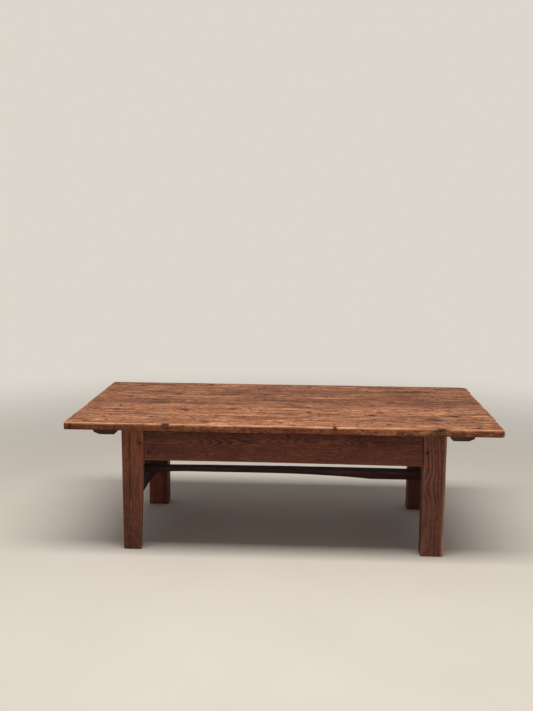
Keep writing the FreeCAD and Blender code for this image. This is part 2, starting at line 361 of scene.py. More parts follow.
@dataclass(frozen=True)
class OldTimber:
    """Old softwood, sawn, planed by hand and rubbed with wax.

    The rings are drawn round the pith, as in a real log, so faces show arches, edges lines and ends arcs.
    Late wood is darker and stands a little proud of the early wood, which has been rubbed away.
    """

    # Real pine has rings 1 to 3 mm apart, and fibres and worm holes under 1 mm wide. A pixel of the render
    # covers about 3 mm, so all of these are drawn two to six times as coarse, or they wouldn't show.

    name: str
    early_wood: str
    late_wood: str
    knot_wood: str
    rubbed_wood: str
    # The polish colour also paints highlight lines along some edges
    handled_and_highlight_wood: str
    # The pale colour also paints light where a pale patch stands for it
    pale_wood: str
    # The stain colour also paints shade where a stain patch stands for it
    stain: str
    edge: str
    grime: str
    ring_mm: float = 4.4
    ring_wave_mm: float = 10.0
    ring_contrast: float = 0.6
    # Shares of a ring: late wood starts and is full, and the next ring starts
    late_span: tuple[float, float] = (0.2, 0.86)
    ring_end: float = 0.9
    # Radii of a knot where its core and its halo start to fade and are gone, and their strengths
    knot_core: tuple[float, float, float] = (0.8, 1.3, 0.85)
    knot_halo: tuple[float, float, float] = (1.1, 2.4, 0.5)
    streaks: Marks = Marks(150.0, 6.0, 0.42, 0.66, 0.45, 3.0)
    gleams: Marks = Marks(34.0, 9.0, 0.55, 0.70, 0.45)
    mottle: Marks = Marks(16.0, 21.0, 0.46, 0.68, 0.45, 3.0)
    flecks: Marks = Marks(24.0, 6.0, 0.62, 0.72, 0.75)
    clouds: Marks = Marks(330.0, 120.0, 0.44, 0.64, 0.45)
    figured: Marks = Marks(170.0, 55.0, 0.40, 0.62, 0.75)
    ragged: Marks = Marks(13.0, 11.0, 0.40, 0.56, 0.3, 4.0)
    chipped: Marks = Marks(14.0, 6.0, 0.42, 0.58, 0.5, 3.0)
    fibres: Marks = Marks(38.0, 1.6, 0.25, 0.75, 1.0)
    # How dark the fibres are, and how far they tear the outline of a knot
    fibre_dark: float = 0.3
    knot_tear: float = 0.3
    # How much more of a rub shows on the fibres, and how much of it shows between them
    rubbed_fibres: tuple[float, float] = (0.5, 0.55)
    roughness: float = 0.55
    # What streaks, grime and rubbing add to the roughness
    dulling: tuple[float, float, float] = (0.12, 0.2, -0.25)
    specular: float = 0.16
    ior: float = 1.47
    relief_mm: float = 1.0
    relief_strength: float = 0.8
    # How far late wood, flecks and the cores of knots stand out beside the fibres
    proud: tuple[float, float, float] = (0.6, -0.9, 0.6)
    polish: float = 0.1
    dust: str | None = None
    # Dust lies on what faces up: the rise of the normal where it starts and is full, and its strength
    dust_span: tuple[float, float, float] = (0.6, 0.95, 0.15)

    def rings(self, tree: Tree, grain: Socket, figure: Socket) -> Socket:
        """Draws growth rings: the distance from the pith, pushed about by slow waves and by the knots.

        Args:
            tree: The material's node tree.
            grain: Places in the log, in metres.
            figure: How far the knots push the rings out, in metres.

        Returns:
            Zero in early wood, rising to one in late wood.
        """
        flat = add_node(tree, "VectorMath", {0: grain, 1: (0.0, 1.0, 1.0)}, operation="MULTIPLY")
        radius = add_node(tree, "VectorMath", {0: flat}, operation="LENGTH")
        wave = Marks(260.0, 34.0, 0.0, 1.0, self.ring_wave_mm * MM).mask(tree, grain, Shift.RINGS)
        for push in (wave, figure):
            radius = add_node(tree, "Math", {0: radius, 1: push}, operation="ADD")
        turns = add_node(tree, "Math", {0: radius, 1: self.ring_mm * MM}, operation="DIVIDE")
        in_ring = add_node(tree, "Math", {0: turns}, operation="FRACT")
        start, full = self.late_span
        rising = {"Value": in_ring, "From Min": start, "From Max": full}
        falling = {"Value": in_ring, "From Min": self.ring_end, "To Min": 1.0, "To Max": 0.0}
        rise = add_node(tree, "MapRange", rising, interpolation_type="SMOOTHSTEP")
        fall = add_node(tree, "MapRange", falling, interpolation_type="SMOOTHSTEP")
        return add_node(tree, "Math", {0: rise, 1: fall}, operation="MULTIPLY")

    def knots(self, tree: Tree, distance: Socket, fibre: Socket) -> tuple[Socket, ...]:
        """Draws knots: a dark core inside a paler halo, both with a ragged outline.

        Args:
            tree: The material's node tree.
            distance: How far the nearest knot is, in its radii.
            fibre: Where the fibres stand proud.

        Returns:
            How much of the core, and of the halo, lies at each place.
        """
        torn = add_node(tree, "Math", {0: fibre, 1: self.knot_tear, 2: distance}, operation="MULTIPLY_ADD")
        drawn = []
        for near, far, strength in (self.knot_core, self.knot_halo):
            fading = {"Value": torn, "From Min": near, "From Max": far, "To Min": strength, "To Max": 0.0}
            drawn.append(add_node(tree, "MapRange", fading, interpolation_type="SMOOTHSTEP"))
        return tuple(drawn)

    def lying_dust(self, tree: Tree) -> Socket:
        """Lays dust on what faces up.

        Args:
            tree: The material's node tree.

        Returns:
            How much dust lies at each place.
        """
        normal = add_node(tree, "NewGeometry", output="Normal")
        facing = add_node(tree, "SeparateXYZ", {0: normal}, output="Z")
        start, full, strength = self.dust_span
        lying = {"Value": facing, "From Min": start, "From Max": full, "To Max": strength}
        return add_node(tree, "MapRange", lying, interpolation_type="SMOOTHSTEP")

    def material(self) -> Material:
        """Builds the finish.

        Returns:
            A material that reads the grain and the shares that a timber carries.
        """
        material = new_material(self.name)
        tree = material.node_tree
        grain = add_node(tree, "Attribute", output="Vector", attribute_name="grain")
        share = {}
        for item in Share:
            share[item] = add_node(tree, "Attribute", output="Fac", attribute_name=item.value)
        late = self.rings(tree, grain, share[Share.FIGURE])
        fibre = self.fibres.mask(tree, grain, Shift.FIBRES)
        streak = self.streaks.mask(tree, grain, Shift.STREAKS)
        fleck = self.flecks.mask(tree, grain, Shift.FLECKS)
        core, halo = self.knots(tree, share[Share.KNOT], fibre)

        # Colour, from the wood outwards to what lies on it
        figured = self.figured.thinned(tree, grain, Shift.FIGURED, late)
        contrast = add_node(tree, "Math", {0: figured, 1: self.ring_contrast}, operation="MULTIPLY")
        fine = add_node(tree, "Math", {0: fibre, 1: self.fibre_dark}, operation="MULTIPLY")
        on_fibres, between = self.rubbed_fibres
        rubbed = add_node(tree, "Math", {0: fibre, 1: on_fibres, 2: between}, operation="MULTIPLY_ADD")
        rubbed = add_node(tree, "Math", {0: rubbed, 1: share[Share.RUBBED]}, operation="MULTIPLY")
        layers = [
            # Pale wear, and painted light on the upper part of the left front leg
            (share[Share.PALE], self.pale_wood),
            (contrast, self.late_wood),
            (fine, self.late_wood),
            (streak, self.late_wood),
            (self.gleams.mask(tree, grain, Shift.GLEAMS), self.rubbed_wood),
            (self.mottle.mask(tree, grain, Shift.MOTTLE), self.late_wood),
            (self.clouds.mask(tree, grain, Shift.CLOUDS), self.late_wood),
            # Darker pieces, and painted shade on the inner faces of the legs
            (share[Share.DARK], self.late_wood),
            (halo, self.late_wood),
            (fleck, self.knot_wood),
            (core, self.knot_wood),
            (self.chipped.thinned(tree, grain, Shift.CHIPPED, share[Share.END]), self.edge),
            # Stains, and painted shade: a band under the top on the front apron and darker parts of two legs
            (self.ragged.thinned(tree, grain, Shift.RAGGED, share[Share.STAIN]), self.stain),
            # Polish, which also paints highlight lines on the top's front edge and on the right front leg's
            # front edge
            (rubbed, self.handled_and_highlight_wood),
        ]
        if self.dust:
            layers.append((self.lying_dust(tree), self.dust))
        layers.append((share[Share.GRIME], self.grime))
        colour = linear(self.early_wood)
        for amount, hex_colour in layers:
            colour = add_node(tree, "Mix", {0: amount, 6: colour, 7: linear(hex_colour)}, data_type="RGBA")

        # Sheen: duller along streaks and under grime, brighter where hands have polished
        rough = self.roughness
        for part, change in zip((streak, share[Share.GRIME], share[Share.RUBBED]), self.dulling):
            rough = add_node(tree, "Math", {0: part, 1: change, 2: rough}, operation="MULTIPLY_ADD")
        polished = {0: share[Share.RUBBED], 1: self.polish, 2: self.specular}
        shine = add_node(tree, "Math", polished, operation="MULTIPLY_ADD")

        # Relief: fibres, late wood and knots stand proud, and flecks are holes
        height = fibre
        for part, rise in zip((late, fleck, core), self.proud):
            height = add_node(tree, "Math", {0: part, 1: rise, 2: height}, operation="MULTIPLY_ADD")
        relief = {"Height": height, "Strength": self.relief_strength, "Distance": self.relief_mm * MM}
        surface = {
            "Base Color": colour,
            "Roughness": rough,
            "Normal": add_node(tree, "Bump", relief),
            "IOR": self.ior,
            "Specular IOR Level": shine,
        }
        shader = add_node(tree, "BsdfPrincipled", surface)
        add_node(tree, "OutputMaterial", {"Surface": shader})
        return material


@dataclass(frozen=True)
class Speckled:
    """A finish whose two colours and sheen come and go in small patches, with matching relief."""

    name: str
    dark: str
    light: str
    patch_mm: float
    roughness: tuple[float, float]
    relief_mm: float
    metallic: float = 0.0
    detail: float = 4.0
    relief_strength: float = 0.7
    specular: float = 0.2

    def material(self) -> Material:
        """Builds the finish.

        Returns:
            The material.
        """
        material = new_material(self.name)
        tree = material.node_tree
        place = add_node(tree, "TexCoord", output="Object")
        size = {"Vector": place, "Scale": 1.0 / (self.patch_mm * MM), "Detail": self.detail}
        patch = add_node(tree, "TexNoise", size)
        low, high = self.roughness
        relief = {"Height": patch, "Strength": self.relief_strength, "Distance": self.relief_mm * MM}
        colours = {0: patch, 6: linear(self.dark), 7: linear(self.light)}
        surface = {
            "Base Color": add_node(tree, "Mix", colours, data_type="RGBA"),
            "Roughness": add_node(tree, "MapRange", {"Value": patch, "To Min": low, "To Max": high}),
            "Normal": add_node(tree, "Bump", relief),
            "Metallic": self.metallic,
            "Specular IOR Level": self.specular,
        }
        shader = add_node(tree, "BsdfPrincipled", surface)
        add_node(tree, "OutputMaterial", {"Surface": shader})
        return material


@dataclass(frozen=True)
class PaleFloor:
    """Cement screed, floated smooth."""

    # Floating leaves it dull and nearly even, with faint cloudy patches. Far off it fades to the backdrop.
    name: str = "pale_screed"
    pale: str = "#e3dacd"
    darker: str = "#dad0c2"
    patch_mm: float = 420.0
    detail: float = 5.0
    roughness: float = 0.85
    specular: float = 0.2
    # Metres from the middle where it starts to fade and is gone
    fade: tuple[float, float] = (1.1, 3.6)

    def material(self, backdrop: str) -> Material:
        """Builds the finish.

        Args:
            backdrop: The colour that the floor fades to.

        Returns:
            The material.
        """
        material = new_material(self.name)
        tree = material.node_tree
        place = add_node(tree, "TexCoord", output="Object")
        size = {"Vector": place, "Scale": 1.0 / (self.patch_mm * MM), "Detail": self.detail}
        colours = {0: add_node(tree, "TexNoise", size), 6: linear(self.pale), 7: linear(self.darker)}
        surface = {
            "Base Color": add_node(tree, "Mix", colours, data_type="RGBA"),
            "Roughness": self.roughness,
            "Specular IOR Level": self.specular,
        }
        floor = add_node(tree, "BsdfPrincipled", surface)
        away = add_node(tree, "VectorMath", {0: place}, operation="LENGTH")
        near, far = self.fade
        fading = {"Value": away, "From Min": near, "From Max": far}
        faded = add_node(tree, "MapRange", fading, interpolation_type="SMOOTHSTEP")
        seen = add_node(tree, "Math", {0: faded, 1: seen_rays(tree)}, operation="MULTIPLY")
        far_light = add_node(tree, "Emission", {"Color": linear(backdrop)})
        both = add_node(tree, "MixShader", {0: seen, 1: floor, 2: far_light})
        add_node(tree, "OutputMaterial", {"Surface": both})
        return material


@dataclass
class Corner:
    """One corner of a timber's section, followed along the grain.

    place holds across and deep at each station. rounding is how much of both edges is worn off, and zero
    keeps the corner sharp. rubbed and grimy say how far it is polished by hands or filled with dirt, and
    each has its reach. still keeps the face that follows it flat, where another piece fits.
    """

    place: np.ndarray
    rounding: np.ndarray | float = 0.0
    rubbed: np.ndarray | float = 0.0
    grimy: np.ndarray | float = 0.0
    still: bool = False
    rubbed_reach: float = 5.0 * MM
    grimy_reach: float = 2.2 * MM

    @classmethod
    def at(cls, across: np.ndarray, deep: np.ndarray, **more: object) -> "Corner":
        """Sets out a corner from its places across and deep at each station."""
        return cls(np.stack((across, deep), -1), **more)


@dataclass(frozen=True)
class Knot:
    """A branch that the saw cut through: its place along and across the face, and its radius, in mm.

    A buried one lies just under the face, and only bends the grain.
    """

    along: float
    across: float
    radius: float
    buried: bool = False


@dataclass(frozen=True)
class Patch:
    """A patch on a face: its place along and across, its reach both ways, in millimetres, and its strength.

    ragged is how far it breaks up into blotches.
    """

    along: float
    across: float
    length: float
    width: float
    strength: float
    ragged: float = 0.5


@dataclass(frozen=True)
class Check:
    """A drying crack along a deep face: its place across, its ends along, its width and depth, in mm."""

    across: float
    start: float
    end: float
    width: float = 1.6
    depth: float = 3.0
    on_low_face: bool = False
    grime: float = 0.9


@dataclass(frozen=True)
class Uneven:
    """A strength that comes and goes with noise: its middle and its swing, and the least and most of it."""

    middle: float
    swing: float
    least: float
    most: float

    def at(self, noise: np.ndarray, more: np.ndarray | float = 0.0) -> np.ndarray:
        """Turns noise into the strength, and adds what else changes it."""
        return np.clip(self.middle + self.swing * noise + more, self.least, self.most)


@dataclass(frozen=True)
class Log:
    """Where the pith of the log lies from the timber's middle, in mm, and how it slants, in mm per metre.

    swings are bends of the log: where along it each is, how far it reaches and how much it moves the pith
    across, in millimetres. The rings of a flat-sawn face point in arches at each other over a bend.
    """

    across: float
    deep: float
    slant_across: float = 0.0
    slant_deep: float = 0.0
    swings: tuple[tuple[float, float, float], ...] = ()


@dataclass
class Timber:
    """One worked timber, drawn as sections along its grain, worn and skinned into a mesh.

    marks_on is the section axis that knots and stains are placed on: 0 for across, 1 for deep. polish tells
    the four edges apart, where they aren't all rubbed alike: high low, high high, low high, low low.
    """

    node: str
    log: Log
    seed: int
    axis: Axis = Axis.LENGTH
    dark: float = 0.0
    knots: tuple[Knot, ...] = ()
    checks: tuple[Check, ...] = ()
    stains: tuple[Patch, ...] = ()
    pales: tuple[Patch, ...] = ()
    marks_on: int = 0
    crack_depth: Uneven = Uneven(0.75, 0.25, 0.5, 1.0)
    polish_spread: Uneven = Uneven(0.75, 0.5, 0.2, 1.0)
    spacing_mm: float = 6.0
    arris_mm: float = 3.0
    arris_swing: float = 0.45
    end_round_mm: tuple[float, float] = (2.0, 2.0)
    planing_mm: float = 0.35
    end_wander_mm: float = 0.5
    rubbed: float = 0.5
    polish: tuple[float, ...] = ()
    polish_reach_mm: float = 5.0
    arc_steps: int = 5
    close_stations: tuple[float, ...] = ()
    low: np.ndarray = field(init=False)
    high: np.ndarray = field(init=False)
    stations: np.ndarray = field(init=False)

    def __post_init__(self) -> None:
        """Reads the timber's place from the frame and sets out its stations."""
        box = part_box(self.node)
        self.low = np.array([box[0][i] for i in self.axis.order])
        self.high = np.array([box[1][i] for i in self.axis.order])
        self.stations = self.set_out()

    def set_out(self) -> np.ndarray:
        """Sets out stations along the grain, close together at the ends and round small marks.

        Returns:
            Their places, rising.
        """
        near = END_STATIONS * MM
        start, end = self.low[0], self.high[0]
        count = max(3, round((end - start) / (self.spacing_mm * MM)))
        inner = np.linspace(start + near[-1], end - near[-1], count)
        stations = [start + near[:-1], inner, end - near[-2::-1]]
        for place in self.close_stations:
            stations.append(place + CLOSE_STATIONS * MM)
        rising = np.sort(np.concatenate(stations))
        rising = rising[(rising >= start) & (rising <= end)]
        kept = np.concatenate([[True], np.diff(rising) > LEAST_STEP * MM])
        return rising[kept]

    def drift(self, noise: Noise, line: np.ndarray | None = None, more: int = 0) -> np.ndarray:
        """Draws smooth noise along the timber or another line.

        Args:
            noise: Which pattern it is.
            line: Places along the line, where they aren't the stations.
            more: Tells lines with one pattern apart.

        Returns:
            One value from -1 to 1 for each place.
        """
        salt, pitch = noise.value
        places = self.stations if line is None else line
        return wander(places, pitch, self.seed + salt + more)

    def column(self, values: np.ndarray | float) -> np.ndarray:
        """Stands one number, or one for each station, in a column of the stations' length."""
        return np.broadcast_to(np.asarray(values, float), self.stations.shape)[:, None]

    def along(self, rings: np.ndarray) -> np.ndarray:
        """The place along the grain of each point of the outlines."""
        return np.broadcast_to(self.stations[:, None], rings.shape[:2])

    def places(self, rings: np.ndarray) -> np.ndarray:
        """The places along, across and deep of each point of the outlines."""
        return np.concatenate([self.along(rings)[..., None], rings], -1)

    def on_faces(self, place: np.ndarray, wear: Wear) -> np.ndarray:
        """Smooth noise all over the timber, for places along, across and deep."""
        salt, size = wear.value
        return smooth_noise(place / np.array(size), self.seed + salt)

    def drawn_in(self, sizes_mm: tuple[float, float]) -> np.ndarray:
        """How far an edge draws in along two quarter rounds, one at each end.

        Args:
            sizes_mm: The radii at the low and the high end.

        Returns:
            One distance for each station.
        """
        inset = np.zeros_like(self.stations)
        gaps = (self.stations - self.stations[0], self.stations[-1] - self.stations)
        for gap, size in zip(gaps, sizes_mm):
            left = unit(1.0 - gap / max(size * MM, 1e-6))
            inset += size * MM * (1.0 - np.sqrt(1.0 - left**2))
        return inset

    def arris(self, size_mm: float, salt: int) -> np.ndarray:
        """How much of an edge is worn off along the grain.

        Args:
            size_mm: The usual amount.
            salt: Which edge, so that no two wear alike.

        Returns:
            One size for each station, in metres.
        """
        seed = self.seed * EDGE_SEEDS + salt
        swing = sum(share * wander(self.stations, pitch, seed + quick) for share, pitch, quick in EDGE_WAVES)
        return size_mm * MM * np.clip(1.0 + self.arris_swing * EDGE_SWING * swing, *EDGE_LIMITS)

    def sides(self) -> Sides:
        """Finds across low, across high, deep low and deep high at each station, drawn in at both ends."""
        inset = self.drawn_in(self.end_round_mm)
        return (self.low[1] + inset, self.high[1] - inset, self.low[2] + inset, self.high[2] - inset)

    def section(self) -> list[Corner]:
        """Sets out the section, with its cracks.

        Returns:
            Its corners, turning from across to deep.
        """
        a_low, a_high, d_low, d_high = self.sides()
        places = [(a_high, d_low), (a_high, d_high), (a_low, d_high), (a_low, d_low)]
        polish = self.polish or (self.rubbed,) * len(places)
        reach = self.polish_reach_mm * MM
        corners = [
            Corner.at(*place, rounding=self.arris(self.arris_mm, i), rubbed=polish[i], rubbed_reach=reach)
            for i, place in enumerate(places)
        ]
        return corners[:2] + self.cracks(d_high, False) + corners[2:] + self.cracks(d_low, True)

    def cracks(self, face: np.ndarray, on_low_face: bool) -> list[Corner]:
        """The drying cracks in one deep face, as corners that sink where the crack runs.

        Args:
            face: The height of that face at each station.
            on_low_face: Whether it is the low one.

        Returns:
            Three corners for each crack, in the order of the section.
        """
        way = 1.0 if on_low_face else -1.0
        along = self.stations / MM
        corners = []
        wanted = [check for check in self.checks if check.on_low_face == on_low_face]
        for check in sorted(wanted, key=lambda item: way * item.across):
            run = unit((along - check.start) / CRACK_RUN_OUT) * unit((check.end - along) / CRACK_RUN_OUT)
            run *= self.crack_depth.at(self.drift(Noise.CRACK_DEPTH))
            middle = check.across * MM + CRACK_WANDER * MM * self.drift(Noise.CRACK_LINE)
            half = check.width * MM * 0.5 * (CRACK_END + (1.0 - CRACK_END) * run)
            corners.append(Corner.at(middle - way * half, face))
            corners.append(Corner.at(middle, face + way * check.depth * MM * run, grimy=run * check.grime))
            corners.append(Corner.at(middle + way * half, face))
        return corners

    def ring(self, corners: list[Corner]) -> tuple[np.ndarray, np.ndarray]:
        """Draws the outline through the corners at every station.

        Args:
            corners: The section's corners.

        Returns:
            Across and deep for each station and point, and how freely each point may be roughened.
        """
        starts, ends = [], []
        for k, corner in enumerate(corners):
            rounding = self.column(corner.rounding)
            for store, other in ((starts, corners[k - 1]), (ends, corners[(k + 1) % len(corners)])):
                way = other.place - corner.place
                store.append(corner.place + way / np.linalg.norm(way, axis=1, keepdims=True) * rounding)
        columns, free = [], []
        for k, corner in enumerate(corners):
            follower = starts[(k + 1) % len(corners)]
            is_round = np.any(np.asarray(corner.rounding) > 0.0)
            for t in np.linspace(0.0, 1.0, self.arc_steps) if is_round else [0.5]:
                columns.append((1 - t) ** 2 * starts[k] + 2 * t * (1 - t) * corner.place + t * t * ends[k])
                free.append(0.0 if corner.still and corners[k - 1].still else 1.0)
            steps = int(np.linalg.norm(follower - ends[k], axis=1).mean() / (self.spacing_mm * MM))
            for step in range(1, steps + 1):
                share = step / (steps + 1)
                columns.append(ends[k] * (1 - share) + follower * share)
                free.append(0.0 if corner.still else 1.0)
        return np.stack(columns, 1), np.array(free)

    def knot_distance(self, along: np.ndarray, across: np.ndarray, with_buried: bool = False) -> np.ndarray:
        """Distance to the nearest knot, in that knot's radii, for each point.

        Args:
            along: Each point's place along the grain.
            across: Its place on the section axis that knots are placed on.
            with_buried: Whether knots that don't show count too.

        Returns:
            One distance for each point.
        """
        nearest = np.full(along.shape, NO_KNOT)
        for knot in self.knots:
            if with_buried or not knot.buried:
                gap = np.hypot((along / MM - knot.along) / KNOT_STRETCH, across / MM - knot.across)
                nearest = np.minimum(nearest, gap / knot.radius)
        return nearest

    def covered(self, patches: tuple[Patch, ...], along: np.ndarray, across: np.ndarray) -> np.ndarray:
        """How strongly each point is covered by ragged patches.

        Args:
            patches: The patches.
            along: Each point's place along the grain.
            across: Its place on the section axis that patches are placed on.

        Returns:
            One share for each point.
        """
        total = np.zeros(along.shape)
        blotches = self.on_faces(np.stack([along, across, total], -1), Wear.BLOTCHES)
        middle, least, most = PATCH_LEVELS
        for patch in patches:
            run = (along / MM - patch.along) / patch.length
            gap = np.hypot(run, (across / MM - patch.across) / patch.width)
            broken = Uneven(middle, patch.ragged, least, most).at(blotches)
            total = np.maximum(total, patch.strength * bell(gap, 1.0) * broken)
        return total

    def roughen(self, rings: np.ndarray, free: np.ndarray) -> np.ndarray:
        """Sinks the faces a little, as planing and use do, and never lifts them.

        Args:
            rings: Across and deep for each station and point.
            free: How freely each point may move.

        Returns:
            The moved outline.
        """
        ahead = np.roll(rings, -1, axis=1) - np.roll(rings, 1, axis=1)
        normal = np.stack([ahead[..., 1], -ahead[..., 0]], -1)
        normal /= np.maximum(np.linalg.norm(normal, axis=-1, keepdims=True), 1e-9)
        place = self.places(rings)
        sag = 1.0 + self.on_faces(place, Wear.SAG)
        scallop = 1.0 + self.on_faces(place, Wear.SCALLOP)
        nick = unit(self.on_faces(place, Wear.NICK) - NICK_LEVEL)
        sink = sum(share * depth for share, depth in zip(SINK_SHARES, (sag, scallop, nick)))
        to_knot = self.knot_distance(self.along(rings), rings[..., self.marks_on])
        sink = sink * np.clip(to_knot - KNOT_HOLD, LEAST_SINK, 1.0)
        return rings - normal * (sink * self.planing_mm * MM * free)[..., None]

    def shares(self, rings: np.ndarray, corners: list[Corner]) -> dict[Share, np.ndarray]:
        """Works out what the finish needs to know at each point.

        Args:
            rings: Across and deep for each station and point.
            corners: The section's corners.

        Returns:
            One value per point for each share.
        """
        along = self.along(rings)
        on_face = rings[..., self.marks_on]
        rubbed = np.zeros(along.shape)
        grime = np.zeros(along.shape)
        for corner in corners:
            gap = np.linalg.norm(rings - corner.place[:, None, :], axis=-1)
            rubbed = np.maximum(rubbed, self.column(corner.rubbed) * bell(gap, corner.rubbed_reach))
            grime = np.maximum(grime, self.column(corner.grimy) * bell(gap, corner.grimy_reach))
        patchy = self.on_faces(self.places(rings), Wear.POLISH)
        bent = self.knot_distance(along, on_face, with_buried=True)
        end = np.zeros(along.shape)
        end[[0, -1]] = END_DARK
        return {
            Share.KNOT: self.knot_distance(along, on_face),
            Share.FIGURE: KNOT_PUSH * MM * bell(bent, KNOT_PUSH_REACH),
            Share.RUBBED: rubbed * self.polish_spread.at(patchy),
            Share.PALE: self.covered(self.pales, along, on_face),
            Share.GRIME: grime,
            Share.STAIN: self.covered(self.stains, along, on_face),
            Share.DARK: np.full(along.shape, self.dark),
            Share.END: end,
        }

    def grain(self, rings: np.ndarray) -> np.ndarray:
        """Places each point in the log: along the grain, and across and deep from the pith.

        Args:
            rings: Across and deep for each station and point.

        Returns:
            Three values for each point, in metres.
        """
        middle = (self.low + self.high) / 2.0
        run = self.stations - middle[0]
        pith_across = middle[1] + self.log.across * MM + self.log.slant_across * MM * run
        pith_across = pith_across + PITH_ACROSS * MM * self.drift(Noise.PITH_ACROSS)
        pith_deep = middle[2] + self.log.deep * MM + self.log.slant_deep * MM * run
        pith_deep = pith_deep + PITH_DEEP * MM * self.drift(Noise.PITH_DEEP)
        for along, reach, amount in self.log.swings:
            pith_across = pith_across + amount * MM * bell(run / MM - along, reach)
        from_pith = rings - np.stack([pith_across, pith_deep], -1)[:, None, :]
        in_log = self.along(rings) + self.seed * LOG_STEP
        return np.concatenate([in_log[..., None], from_pith], -1)

    def skin(self, rings: np.ndarray) -> bpy.types.Object:
        """Skins the outlines into a closed mesh.

        Args:
            rings: Across and deep for each station and point.

        Returns:
            The new object, in place.
        """
        count, size = rings.shape[:2]
        along = self.along(rings)
        for row, way in ((0, 1.0), (-1, -1.0)):
            uneven = 0.5 + 0.5 * self.drift(Noise.END_CUT, rings[row, :, 0])
            fade = unit(1.0 - np.abs(self.stations - self.stations[row]) / END_REACH)
            along = along + way * self.end_wander_mm * MM * uneven[None, :] * fade[:, None]
        places = np.zeros((count, size, 3))
        places[..., self.axis.order] = np.concatenate([along[..., None], rings], -1)
        index = np.arange(count * size).reshape(count, size)
        ahead = np.roll(index, -1, axis=1)
        quads = np.stack([index[:-1], ahead[:-1], ahead[1:], index[1:]], -1).reshape(-1, 4)
        faces = quads.tolist() + [index[-1].tolist(), index[0][::-1].tolist()]
        mesh = bpy.data.meshes.new(self.node + "_worn")
        mesh.from_pydata(places.reshape(-1, 3).tolist(), [], faces)
        mesh.polygons.foreach_set("use_smooth", [True] * len(mesh.polygons))
        mesh.set_sharp_from_angle(angle=math.radians(SHARP_DEGREES))
        piece = bpy.data.objects.new(self.node + "_worn", mesh)
        bpy.context.scene.collection.objects.link(piece)
        return piece

    def build(self, material: Material, slot: str) -> None:
        """Makes the timber, dresses it and sets it on the frame.

        Args:
            material: Its finish.
            slot: The name of the finish's slot; not used.
        """
        corners = self.section()
        outline, free = self.ring(corners)
        rings = self.roughen(outline, free)
        piece = self.skin(rings)
        grain = piece.data.attributes.new("grain", "FLOAT_VECTOR", "POINT")
        grain.data.foreach_set("vector", self.grain(rings).astype(np.float32).ravel())
        for share, values in self.shares(outline, corners).items():
            layer = piece.data.attributes.new(share.value, "FLOAT", "POINT")
            layer.data.foreach_set("value", values.astype(np.float32).ravel())
        piece.data.materials.append(material)
        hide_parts(self.node)
        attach(piece, BODY)
        LOG.info("%s: %d faces", piece.name, len(piece.data.polygons))


@dataclass(frozen=True)
class NailRow:
    """Nails in one line along a plank: where the line lies across, and each nail's place along it."""

    across: float
    alongs: tuple[float, ...]


